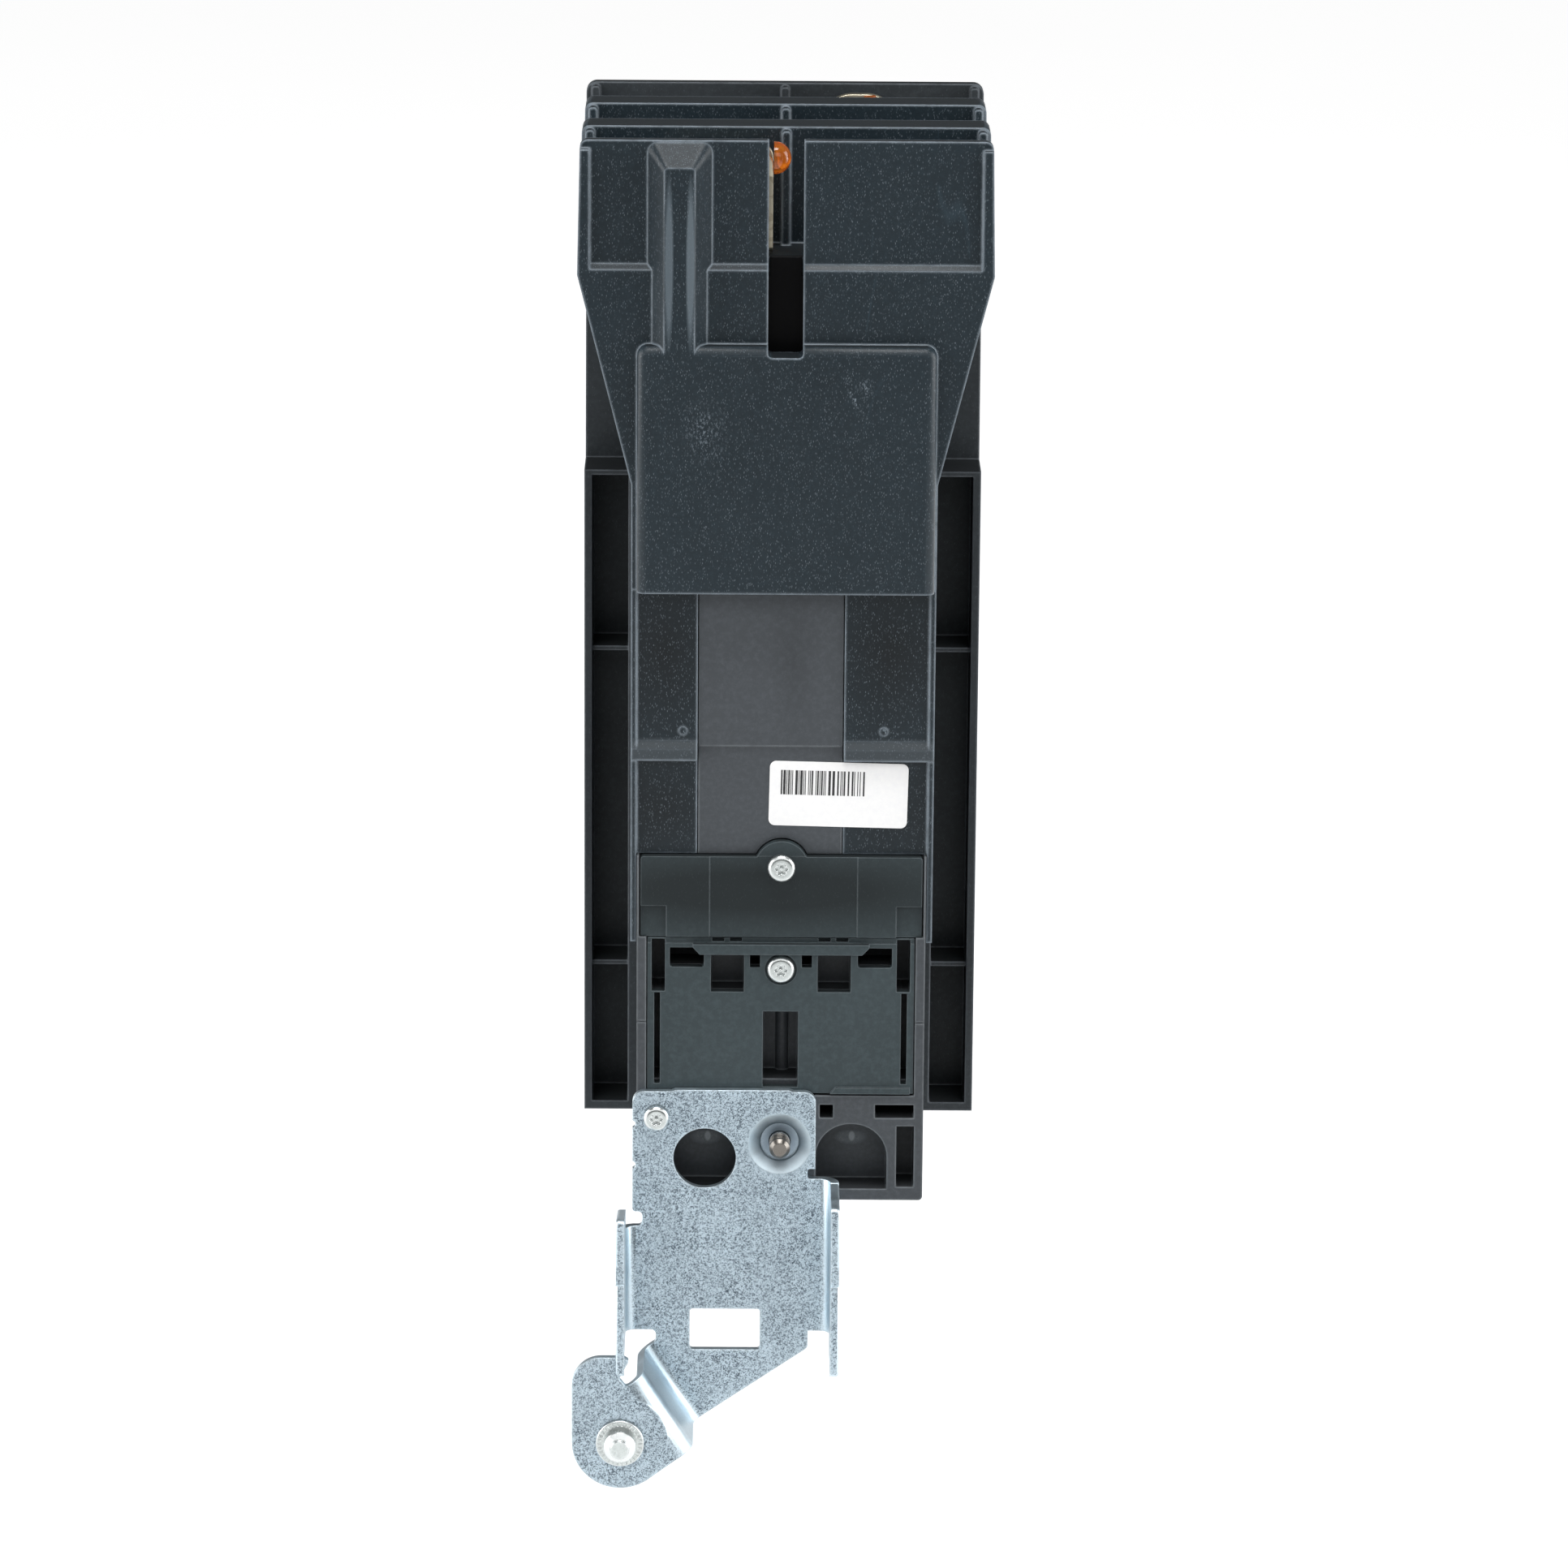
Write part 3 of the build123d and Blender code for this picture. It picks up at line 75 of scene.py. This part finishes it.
class Graph:
    """One node material: a Principled shader and the helpers that feed it."""

    def __init__(self, name):
        self.material = bpy.data.materials.new(name)
        self.material.use_nodes = True
        self.tree = self.material.node_tree
        self.tree.nodes.clear()
        self.output = self.tree.nodes.new("ShaderNodeOutputMaterial")
        self.shader = self.tree.nodes.new("ShaderNodeBsdfPrincipled")
        self.tree.links.new(self.shader.outputs[0], self.output.inputs[0])
        coords = self.tree.nodes.new("ShaderNodeTexCoord")
        self.coords = coords.outputs["Object"]

    def node(self, kind, inputs=None, **settings):
        made = self.tree.nodes.new("ShaderNode" + kind)
        for key, value in settings.items():
            setattr(made, key, value)
        for key, value in (inputs or {}).items():
            if isinstance(value, bpy.types.NodeSocket):
                self.tree.links.new(value, made.inputs[key])
            else:
                made.inputs[key].default_value = value
        return made

    def mapped(self, scale, turn=(0, 0, 0), shift=(0, 0, 0)):
        inputs = {"Vector": self.coords, "Scale": scale, "Rotation": turn, "Location": shift}
        return self.node("Mapping", inputs).outputs[0]

    def noise(self, scale, detail=2.0, rough=0.5, vector=None, distortion=0.0):
        node = self.node("TexNoise", {"Vector": vector or self.coords, "Scale": scale, "Detail": detail,
                                      "Roughness": rough, "Distortion": distortion})
        return node.outputs["Fac"]

    def ramp(self, value, low, high, to_low=0.0, to_high=1.0):
        node = self.node("MapRange", {"Value": value, "From Min": low, "From Max": high, "To Min": to_low,
                                      "To Max": to_high})
        return node.outputs[0]

    def math(self, operation, a, b=0.0, c=0.0):
        return self.node("Math", {0: a, 1: b, 2: c}, operation=operation).outputs[0]

    def mix(self, factor, a, b):
        node = self.node("Mix", data_type="RGBA")
        for index, value in ((0, factor), (6, a), (7, b)):
            if isinstance(value, bpy.types.NodeSocket):
                self.tree.links.new(value, node.inputs[index])
            else:
                node.inputs[index].default_value = value if index == 0 else (*value, 1.0)
        return node.outputs[2]

    def bump(self, height, strength, distance, normal=None):
        inputs = {"Height": height, "Strength": strength, "Distance": distance}
        if normal is not None:
            inputs["Normal"] = normal
        return self.node("Bump", inputs).outputs[0]

    def rounded(self, radius):
        return self.node("Bevel", {"Radius": radius}, samples=BEVEL_SAMPLES).outputs[0]

    def edge(self, radius, gain):
        """1 along convex and concave edges, 0 on open faces."""
        soft = self.rounded(radius)
        own = self.node("NewGeometry").outputs["Normal"]
        dot = self.node("VectorMath", {0: soft, 1: own}, operation="DOT_PRODUCT")
        return self.ramp(dot.outputs["Value"], 1.0, 1.0 - 1.0 / gain)

    def normal(self, axis):
        """One component of the surface's own normal."""
        return self.node("SeparateXYZ", {0: self.node("NewGeometry").outputs["Normal"]}).outputs[axis]

    def set(self, name, value):
        if isinstance(value, bpy.types.NodeSocket):
            self.tree.links.new(value, self.shader.inputs[name])
        else:
            self.shader.inputs[name].default_value = value


def srgb(r, g, b):
    """Linear colour of an 8-bit screen colour."""
    return tuple((v / 255 / 12.92) if v / 255 <= 0.04045 else ((v / 255 + 0.055) / 1.055) ** 2.4
                 for v in (r, g, b))


def times(colour, factor):
    return tuple(v * factor for v in colour)


# cells or waves per metre along x, y and z
FLECKS = (4600, 4600, 1800)
SCRATCHES = (30, 30, 5)
RUBS = (2600, 2600, 1500)
DRAWN_LINES = (2500, 2500, 60)
PATCH_DEPTH = 5 * MM


def flecks(g, share, layers=2):
    """Short pale glass fibres: a share of stretched cells, each with a small bright core."""
    total = None
    for index in range(layers):
        turn = (0.5 * index, 0.45 + 1.9 * index, 0.8 * index)
        spread = g.mapped(FLECKS, turn, (index * 3.1, 0, index))
        cells = g.node("TexVoronoi", {"Vector": spread, "Scale": 1.0, "Randomness": 1.0})
        core = g.ramp(cells.outputs["Distance"], 0.16, 0.42, 1.0, 0.0)
        draw = g.node("SeparateColor", {0: cells.outputs["Color"]}).outputs[0]
        chosen = g.ramp(draw, 1.0 - share, 1.0)
        spot = g.math("MULTIPLY", core, chosen)
        total = spot if total is None else g.math("MAXIMUM", total, spot)
    return total


def hairlines(g, places=2):
    """Long thin scratches: contour lines of stretched noise, broken up."""
    total = None
    for index in range(places):
        turn = (0.2 + 0.4 * index, 0.5 - 1.3 * index, 0.3)
        drift = g.noise(1.0, 1.5, 0.5, g.mapped(SCRATCHES, turn, (2.3 * index, 0.4, 1.1 * index)))
        away = g.math("ABSOLUTE", g.math("SUBTRACT", drift, 0.5))
        line = g.ramp(away, 0.0, 0.0022, 1.0, 0.0)
        total = line if total is None else g.math("MAXIMUM", total, line)
    return g.math("MULTIPLY", total, g.ramp(g.noise(60, 3.0, 0.6), 0.54, 0.68))


def patch(g, place, radii, tilt=0.0, soft=0.5):
    """Elliptic area round a place in the rear view: 1 within soft of its radii, 0 at its edge."""
    near = g.node("VectorMath", {0: g.coords, 1: tuple(at(*place))}, operation="SUBTRACT").outputs[0]
    scale = (1 / (radii[0] * MM), 1 / PATCH_DEPTH, 1 / (radii[1] * MM))
    turned = g.node("VectorRotate", {"Vector": near, "Angle": tilt, "Axis": (0, 1, 0)}).outputs[0]
    sized = g.node("VectorMath", {0: turned, 1: scale}, operation="MULTIPLY").outputs[0]
    reach = g.node("VectorMath", {0: sized}, operation="LENGTH").outputs["Value"]
    return g.ramp(reach, soft, 1.0, 1.0, 0.0)


def moulded(name, colour, edge_colour, fibre=0.0, fibre_share=0.12, rough=0.4, specular=0.35,
            grain=0.03, edge_radius=0.6 * MM, edge_gain=8.0, scratches=0.0, scuffs=(), stains_and_shade=(),
            tints=(), dimmed_edge_places=(), edge_wear_and_highlight=(0.4, 0.75)):
    """Moulded plastic: mottled base, pale fibres, rubbed edges with painted highlight, painted shade on
    upward faces.

    Each mark is a place in mm, as for at(), and its radii in mm across and up. scuffs and darker patches
    add a tilt and a gain, tints a colour, and the last places dim the rubbed, highlighted edges.
    """
    g = Graph(name)
    cloud = g.noise(22, 3.0, 0.55)
    fine = g.noise(1100, 2.0, 0.6)
    base = g.mix(g.ramp(cloud, 0.3, 0.7), times(colour, 0.88), times(colour, 1.12))
    base = g.mix(g.ramp(fine, 0.42, 0.75, 0.0, 0.35), base, times(colour, 1.7))
    # darker patches: real stains, painted shade deep inside the wings, and plainly darker areas
    for place, radii, tilt, gain in stains_and_shade:
        stain_and_shade_mask = g.math("MULTIPLY", patch(g, place, radii, tilt, 0.0), gain)
        base = g.mix(stain_and_shade_mask, base, times(colour, 0.35))
    # tints: among them painted light on ledges and pocket walls, and painted highlight bands
    for place, radii, tint in tints:
        base = g.mix(patch(g, place, radii, 0.0, 0.6), base, tint)
    if fibre:
        base = g.mix(g.math("MULTIPLY", flecks(g, fibre_share), fibre), base, times(edge_colour, 0.5))
    if scratches:
        base = g.mix(g.math("MULTIPLY", hairlines(g), scratches), base, times(colour, 3.0))
    for place, radii, tilt, gain in scuffs:
        rubs = g.noise(1.0, 4.0, 0.75, g.mapped(RUBS, (0, 0.5, 0)))
        rubbed = g.ramp(rubs, 0.53, 0.62)
        worn_patch = g.math("MULTIPLY", patch(g, place, radii, tilt, 0.0), rubbed)
        base = g.mix(g.math("MULTIPLY", worn_patch, gain), base, edge_colour)
    # rubbed edges: lightened towards the edge colour as painted highlight, patchy like wear
    wear_and_highlight_strength = g.ramp(g.noise(400, 3.0), 0.25, 0.6, *edge_wear_and_highlight)
    worn_and_highlit_edges = g.math("MULTIPLY", g.edge(edge_radius, edge_gain), wear_and_highlight_strength)
    # places where the rubbed edges and their painted highlight are dimmed
    for place, radii in dimmed_edge_places:
        within = patch(g, place, radii, 0.0, 0.85)
        worn_and_highlit_edges = g.math("MULTIPLY", worn_and_highlit_edges, g.ramp(within, 0.0, 1.0, 1.0, 0.3))
    base = g.mix(worn_and_highlit_edges, base, edge_colour)
    # painted shade: faces that look up are darkened, less so on their rubbed, highlighted edges
    upward = g.ramp(g.normal(NORMAL_Z), 0.94, 0.99)
    painted_top_shade = g.math("MULTIPLY", upward, g.math("SUBTRACT", 0.75, worn_and_highlit_edges))
    base = g.mix(painted_top_shade, base, times(colour, 0.3))
    g.set("Base Color", base)
    satin = g.ramp(g.noise(130, 4.0, 0.6), 0.2, 0.8, rough - 0.06, rough + 0.07)
    g.set("Roughness", g.math("ADD", satin, g.math("MULTIPLY", upward, 0.3)))
    g.set("Specular IOR Level", specular)
    g.set("Normal", g.bump(g.noise(1500, 3.0, 0.6), grain, 0.2 * MM, g.rounded(edge_radius)))
    return g.material


METAL_EDGE = 0.3 * MM


def metal(name, colour, dark, rough, mottles=0.0, mottle_scale=900.0, streaks=0.0, bright=None,
          tints=(), calm=()):
    """Bare or plated metal: worm-shaped mottles on flat faces, painted highlight on bends and edges.

    tints are (place, radii, colour); calm places, (place, radii), have weaker mottles.
    """
    g = Graph(name)
    cloud = g.noise(45, 3.0, 0.6)
    lighter = tuple(min(v * 1.08, 1) for v in colour)
    base = g.mix(g.ramp(cloud, 0.3, 0.7), times(colour, 0.9), lighter)
    roughness = g.ramp(g.noise(260, 3.0), 0.25, 0.75, rough - 0.06, rough + 0.08)
    if mottles:
        worm = g.noise(mottle_scale, 2.0, 0.6, distortion=1.2)
        spots = g.ramp(worm, 0.485, 0.555)
        area_share = g.ramp(g.noise(mottle_scale / 9, 2.0), 0.2, 0.75, 0.6, 1.0)
        spots = g.math("MULTIPLY", g.math("MULTIPLY", spots, area_share), mottles)
        flat = g.ramp(g.math("ABSOLUTE", g.normal(NORMAL_Y)), 0.86, 0.985, 0.12, 1.0)
        spots = g.math("MULTIPLY", spots, flat)
        for place, radii in calm:
            within = patch(g, place, radii, 0.0, 0.8)
            spots = g.math("MULTIPLY", spots, g.ramp(within, 0.0, 1.0, 1.0, 0.4))
            roughness = g.math("MULTIPLY", roughness, g.ramp(within, 0.0, 1.0, 1.0, 1.2))
        # painted highlight: bends and other faces not facing along y are mixed towards the bright colour
        base = g.mix(g.math("MULTIPLY_ADD", flat, -0.75, 0.75), base, bright or colour)
        roughness = g.math("MULTIPLY", roughness, g.ramp(flat, 0.12, 1.0, 1.2, 1.0))
        base = g.mix(spots, base, dark)
        roughness = g.math("ADD", roughness, g.math("MULTIPLY", spots, 0.12))
    if streaks:
        drawn = g.noise(1.0, 3.0, 0.6, g.mapped(DRAWN_LINES))
        base = g.mix(g.ramp(drawn, 0.45, 0.7, 0.0, streaks), base, dark)
    # painted highlight along edges, in the bright colour
    if bright is not None:
        base = g.mix(g.math("MULTIPLY", g.edge(METAL_EDGE * 3, 3.0), 0.7), base, bright)
    for place, radii, tint in tints:
        base = g.mix(patch(g, place, radii, 0.0, 0.6), base, tint)
    g.set("Base Color", base)
    g.set("Metallic", 1.0)
    g.set("Roughness", roughness)
    g.set("Normal", g.bump(g.noise(1400, 2.0), 0.05, 0.1 * MM, g.rounded(METAL_EDGE)))
    return g.material


# ---- places of marks, in mm as for at() ----------------------------------------------------------
EDGE = srgb(140, 152, 162)
HEAD = srgb(26, 36, 42)
LEDGE_PAINTED_LIGHT = srgb(56, 62, 66)
HEAD_SCUFFS = (((-14.6, -3.3, 148.5), (5.0, 6.5), 0.0, 0.45), ((12.6, -3.3, 155.0), (0.8, 5.0), 0.42, 0.6),
               ((14.5, -3.3, 157.0), (2.0, 2.6), 0.0, 0.5), ((-18.5, 0.7, 91.1), (0.9, 0.7), 0.0, 1.0),
               ((18.8, 0.7, 91.1), (1.0, 0.8), 0.0, 1.0), ((21.7, 0.9, 90.9), (1.1, 0.6), 0.0, 0.5))
# darker patches over the side strips, above and below their ledges
HEAD_DARK_PATCHES = (((-22.0, 0.9, 106.0), (14.0, 24.0), 0.0, 1.0), ((20.0, 0.9, 106.0), (15.0, 24.0), 0.0, 1.0),
               ((-22.0, 1.6, 76.0), (14.0, 14.0), 0.0, 0.9), ((20.0, 1.6, 76.0), (15.0, 14.0), 0.0, 0.9))
# painted light on the strips' upward-facing ledges, then two painted highlight bands along the key rib's
# inner ridge
HEAD_TINTS = (((-22.0, 0.3, 87.3), (30.0, 2.6), LEDGE_PAINTED_LIGHT), ((22.0, 0.3, 87.3), (30.0, 2.6), LEDGE_PAINTED_LIGHT),
              ((-21.3, -3.3, 179.8), (0.9, 17.2), srgb(78, 88, 95)),
              ((-17.4, -3.3, 179.8), (0.9, 17.2), srgb(82, 92, 99)))
KEY_RIDGE = ((-19.4, -3.3, 179.8), (3.6, 19.0))
# painted shade deep inside the front cover's wings
WING_INNER_SHADE = (((-33.2, 62.0, 64.0), (8.0, 90.0), 0.0, 1.0), ((33.2, 62.0, 64.0), (8.0, 90.0), 0.0, 1.0))
# pale marks on the back walls of the arched pockets, with painted light lifting those deep, shaded walls
ARCH_HAZE_AND_LIGHT, ARCH_PIP_AND_LIGHT = srgb(84, 90, 94), srgb(132, 138, 142)
CASE_SCUFFS = (((-13.9, 7.0, 10.1), (3.4, 1.6), 0.0, 0.8), ((13.5, 7.0, 10.2), (3.4, 1.6), 0.0, 0.8),
               ((-13.5, 7.0, 10.3), (0.6, 1.1), 0.0, 0.8), ((13.7, 7.0, 10.4), (0.6, 1.1), 0.0, 0.8))
CASE_TINTS = (((-13.9, 7.0, 10.1), (3.3, 1.5), ARCH_HAZE_AND_LIGHT), ((13.5, 7.0, 10.2), (3.3, 1.5), ARCH_HAZE_AND_LIGHT),
              ((-13.6, 7.0, 10.3), (0.7, 1.1), ARCH_PIP_AND_LIGHT), ((13.7, 7.0, 10.4), (0.7, 1.1), ARCH_PIP_AND_LIGHT))
CASE_STAINS = (((1.8, 1.2, 104.0), (5.0, 17.0), 0.0, 0.30),)
# a darker band across the rear cover's upper part
COVER_DARK_BAND = (((-4.0, 0.0, 60.5), (70.0, 12.0), 0.0, 1.4),)
SCREW_TINTS = (((0.0, -3.6, 11.5), (4.2, 4.2), srgb(116, 112, 107)),)
CUP = ((0.0, -1.6, 11.5), (7.2, 7.2))
CUP_TINTS = (((0.0, -1.6, 11.5), (5.6, 5.6), srgb(126, 139, 150)),)


def paper(name):
    g = Graph(name)
    fibre = g.noise(900, 4.0, 0.65)
    g.set("Base Color", g.mix(g.ramp(fibre, 0.3, 0.7), srgb(223, 223, 224), srgb(229, 229, 228)))
    g.set("Roughness", g.ramp(fibre, 0.3, 0.7, 0.55, 0.68))
    g.set("Normal", g.bump(fibre, 0.05, 0.0001))
    return g.material


def grease(name):
    g = Graph(name)
    drift = g.noise(420, 3.0, 0.6)
    g.set("Base Color", g.mix(g.ramp(drift, 0.3, 0.7), (0.74, 0.12, 0.006), (0.92, 0.30, 0.03)))
    g.set("Roughness", g.ramp(g.noise(260, 2.0), 0.3, 0.7, 0.03, 0.09))
    g.set("Transmission Weight", 0.75)
    g.set("Subsurface Weight", 0.12)
    g.set("Subsurface Radius", (0.002, 0.0008, 0.0002))
    g.set("Subsurface Scale", 0.5)
    g.set("Normal", g.bump(g.noise(500, 1.0), 0.15, 0.0004))
    return g.material


def ink(name):
    g = Graph(name)
    patchy = g.noise(1500, 3.0, 0.7)
    g.set("Base Color", g.mix(g.ramp(patchy, 0.3, 0.8), srgb(20, 20, 22), srgb(52, 52, 54)))
    g.set("Roughness", g.ramp(patchy, 0.2, 0.8, 0.5, 0.7))
    return g.material


RECIPES = {
    "glass_filled_thermoset": (moulded, HEAD, EDGE, dict(
        fibre=0.75, fibre_share=0.30, rough=0.38, specular=0.30, grain=0.05, edge_radius=0.8 * MM,
        edge_gain=5.0, edge_wear_and_highlight=(0.6, 1.0), scratches=0.35, scuffs=HEAD_SCUFFS, stains_and_shade=HEAD_DARK_PATCHES,
        tints=HEAD_TINTS, dimmed_edge_places=(KEY_RIDGE,))),
    "front_thermoset": (moulded, srgb(50, 54, 57), srgb(112, 118, 124), dict(
        fibre=0.6, fibre_share=0.12, rough=0.42, specular=0.12, grain=0.04, stains_and_shade=WING_INNER_SHADE)),
    "case_thermoset": (moulded, srgb(61, 65, 69), srgb(118, 124, 128), dict(
        fibre=0.25, fibre_share=0.2, rough=0.5, specular=0.3, grain=0.05, stains_and_shade=CASE_STAINS,
        scuffs=CASE_SCUFFS, tints=CASE_TINTS)),
    "cover_thermoset": (moulded, srgb(53, 62, 65), srgb(104, 113, 117), dict(
        fibre=0.2, fibre_share=0.2, rough=0.48, specular=0.18, grain=0.03, edge_radius=0.3 * MM,
        stains_and_shade=COVER_DARK_BAND)),
    "black_insulator": (moulded, srgb(6, 6, 7), srgb(24, 26, 28), dict(
        rough=0.35, specular=0.08, grain=0.01)),
    "black_toggle": (moulded, srgb(22, 22, 23), srgb(70, 72, 74), dict(
        rough=0.42, specular=0.4, grain=0.05)),
    "red_button": (moulded, srgb(150, 28, 24), srgb(190, 90, 80), dict(
        rough=0.4, specular=0.4, grain=0.02)),
    "fibre_board": (moulded, srgb(122, 92, 62), srgb(160, 130, 96), dict(
        fibre=0.6, fibre_share=0.3, rough=0.8, specular=0.2, grain=0.2)),
    "zinc_sheet": (metal, srgb(178, 194, 204), srgb(50, 61, 73), dict(
        rough=0.34, mottles=0.9, mottle_scale=3000, bright=srgb(218, 232, 239), tints=CUP_TINTS,
        calm=(CUP,))),
    "zinc_screw": (metal, srgb(192, 198, 197), srgb(96, 98, 96), dict(
        rough=0.24, mottles=0.12, mottle_scale=1500, bright=srgb(232, 235, 235), tints=SCREW_TINTS)),
    "plain_steel": (metal, srgb(120, 116, 110), srgb(58, 54, 50), dict(rough=0.30, mottles=0.4)),
    "silvered_copper": (metal, srgb(205, 198, 178), srgb(132, 112, 80), dict(
        rough=0.30, mottles=0.4, mottle_scale=400)),
    "copper": (metal, srgb(196, 124, 84), srgb(110, 62, 42), dict(
        rough=0.34, mottles=0.35, mottle_scale=300, streaks=0.3)),
    "lug_aluminium": (metal, srgb(200, 202, 203), srgb(130, 132, 134), dict(
        rough=0.36, mottles=0.2, streaks=0.25)),
}
MATERIALS = {name: make(name, colour, other, **settings)
             for name, (make, colour, other, settings) in RECIPES.items()}
MATERIALS["paper_label"] = paper("paper_label")
MATERIALS["amber_grease"] = grease("amber_grease")
INK = ink("printed_ink")

slot_of = {row["node"]: row["material_slot"] for row in frame["record"]["subparts"]}
for name, piece in frame["nodes"].items():
    material = MATERIALS[slot_of[name]]
    piece.data.materials.clear()
    piece.data.materials.append(material)


# ---- real rounding on the moulded and pressed parts ----------------------------------------------
ROUNDING_MM = {"adaptor_housing": 0.35, "front_cover": 0.3, "base_case": 0.2, "rear_panel": 0.15,
               "rear_cover": 0.2, "base_cover": 0.25, "mounting_bracket": 0.12}
SAME_PLACE = 0.002 * MM
SAME_PLANE = math.radians(1.0)
SHARP_EDGE = math.radians(32)


def soften(node, width):
    """Join a CAD piece's facets into whole faces, then bevel its sharp edges."""
    piece = frame["nodes"][node]
    weld = piece.modifiers.new("weld", "WELD")
    weld.merge_threshold = SAME_PLACE
    flat = piece.modifiers.new("flat", "DECIMATE")
    flat.decimate_type = "DISSOLVE"
    flat.angle_limit = SAME_PLANE
    bevel = piece.modifiers.new("bevel", "BEVEL")
    bevel.width = width
    bevel.segments = 2
    bevel.limit_method = "ANGLE"
    bevel.angle_limit = SHARP_EDGE
    bevel.harden_normals = True
    bevel.use_clamp_overlap = True


for node, width in ROUNDING_MM.items():
    soften(node, width * MM)


# ---- new pieces ----------------------------------------------------------------------------------
BAR_WIDTHS = (0.15, 0.15, 0.3, 0.45)
BARS_X, BARS_Z = (-0.3, 15.3), (78.6, 83.3)
LABEL_TILT = math.radians(1.2)


def new_piece(name, verts, faces, material, body):
    mesh = bpy.data.meshes.new(name)
    mesh.from_pydata([tuple(v) for v in verts], [], faces)
    mesh.update()
    piece = bpy.data.objects.new(name, mesh)
    bpy.context.scene.collection.objects.link(piece)
    mesh.materials.append(material)
    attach(piece, body)


def box_into(verts, faces, low, high):
    """Add the eight corners and six faces of one upright box."""
    start = len(verts)
    for x in (low.x, high.x):
        for y in (low.y, high.y):
            for z in (low.z, high.z):
                verts.append((x, y, z))
    for quad in ((0, 1, 3, 2), (4, 6, 7, 5), (0, 4, 5, 1), (2, 3, 7, 6), (0, 2, 6, 4), (1, 5, 7, 3)):
        faces.append(tuple(start + i for i in quad))


def label_bars():
    """Plain upright bars of seeded widths on the label, turned with it."""
    rng = random.Random(7)
    verts, faces = [], []
    face_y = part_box("blank_label")[0].y
    x, end = BARS_X
    while x < end:
        width = rng.choice(BAR_WIDTHS)
        low = at(x, 0, BARS_Z[0])
        high = at(min(x + width, end), 0, BARS_Z[1])
        low.y, high.y = face_y - 0.02 * MM, face_y + 0.01 * MM
        box_into(verts, faces, low, high)
        x += width + rng.choice(BAR_WIDTHS)
    pivot = at(10.5, 0, 78.8)
    tilt = Matrix.Rotation(LABEL_TILT, 4, "Y")
    turn = Matrix.Translation(pivot) @ tilt @ Matrix.Translation(-pivot)
    verts = [turn @ Vector(v) for v in verts]
    new_piece("label_bars", verts, faces, INK, "breaker")


label_bars()

# ---- floor, light, camera ------------------------------------------------------------------------
low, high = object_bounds()
centre = (low + high) / 2
FLOOR_HALF = 6.0
FLOOR_GAP = 0.5 * MM
# the floor glows from near the part backwards and stays darker towards the camera
GLOW_FROM_Y, GLOW_FULL_Y = -0.75, -0.28
GLOW_LOW, GLOW_FULL = 0.2, 0.87
WORLD_LIGHT = 0.18


def floor():
    mesh = bpy.data.meshes.new("floor")
    corners = ((-1, -1), (1, -1), (1, 1), (-1, 1))
    z = low.z - FLOOR_GAP
    mesh.from_pydata([(FLOOR_HALF * x, FLOOR_HALF * y, z) for x, y in corners], [], [(0, 1, 2, 3)])
    piece = bpy.data.objects.new("floor", mesh)
    bpy.context.scene.collection.objects.link(piece)
    g = Graph("floor_paint")
    soft = g.noise(3.0, 3.0)
    g.set("Base Color", g.mix(g.ramp(soft, 0.3, 0.7), (0.31, 0.31, 0.31), (0.33, 0.33, 0.33)))
    g.set("Roughness", g.ramp(g.noise(30.0), 0.3, 0.7, 0.85, 0.95))
    depth = g.node("SeparateXYZ", {0: g.coords}).outputs[1]
    g.set("Emission Color", (1.0, 1.0, 1.0, 1.0))
    g.set("Emission Strength", g.ramp(depth, GLOW_FROM_Y, GLOW_FULL_Y, GLOW_LOW, GLOW_FULL))
    mesh.materials.append(g.material)


floor()


def area(name, place, size, radiance):
    """Rectangular light at a place (m from the part's middle), facing that middle."""
    data = bpy.data.lights.new(name, "AREA")
    data.shape = "RECTANGLE"
    data.size, data.size_y = size
    data.energy = radiance * math.pi * size[0] * size[1]
    lamp = bpy.data.objects.new(name, data)
    bpy.context.scene.collection.objects.link(lamp)
    lamp.location = centre + Vector(place)
    lamp.rotation_mode = "QUATERNION"
    lamp.rotation_quaternion = (centre - lamp.location).to_track_quat("-Z", "Y")


area("overhead", (0, -0.3, 1.15), (0.7, 0.4), 11)
area("front_top", (0, -1.15, 0.85), (2.2, 0.6), 1.55)
area("left_box", (-1.0, -0.15, 0.15), (0.9, 1.0), 5)
area("right_box", (1.0, -0.15, 0.2), (1.0, 1.0), 5)

world = bpy.data.worlds.new("studio")
world.use_nodes = True
background = world.node_tree.nodes["Background"].inputs
background["Color"].default_value = (1, 1, 1, 1)
background["Strength"].default_value = WORLD_LIGHT
bpy.context.scene.world = world
bpy.context.scene.view_settings.view_transform = "Standard"

# the photograph's camera, solved from its parallel edges
PITCH, YAW, ROLL = math.radians(14.9), math.radians(-0.36), math.radians(-0.43)
DISTANCE = 1282.2 * MM
AIM = at(0.33, 0, 81.2)
FOCAL_PX, FRAME_PX = 8500, 1932
SENSOR_MM = 36
ahead = Vector((0, math.cos(PITCH), -math.sin(PITCH)))
up = Vector((0, math.sin(PITCH), math.cos(PITCH)))
right = Vector((1, 0, 0))
spin = Matrix.Rotation(YAW, 3, "Z")
ahead, up, right = spin @ ahead, spin @ up, spin @ right
right, up = (math.cos(ROLL) * right - math.sin(ROLL) * up,
             math.sin(ROLL) * right + math.cos(ROLL) * up)
camera_data = bpy.data.cameras.new("camera")
camera_data.sensor_width = SENSOR_MM
camera_data.lens = SENSOR_MM * FOCAL_PX / FRAME_PX
camera_data.clip_start, camera_data.clip_end = 0.05, 20
camera = bpy.data.objects.new("camera", camera_data)
bpy.context.scene.collection.objects.link(camera)
basis = Matrix((right, up, -ahead)).transposed().to_4x4()
camera.matrix_world = Matrix.Translation(AIM - DISTANCE * ahead) @ basis
bpy.context.scene.camera = camera
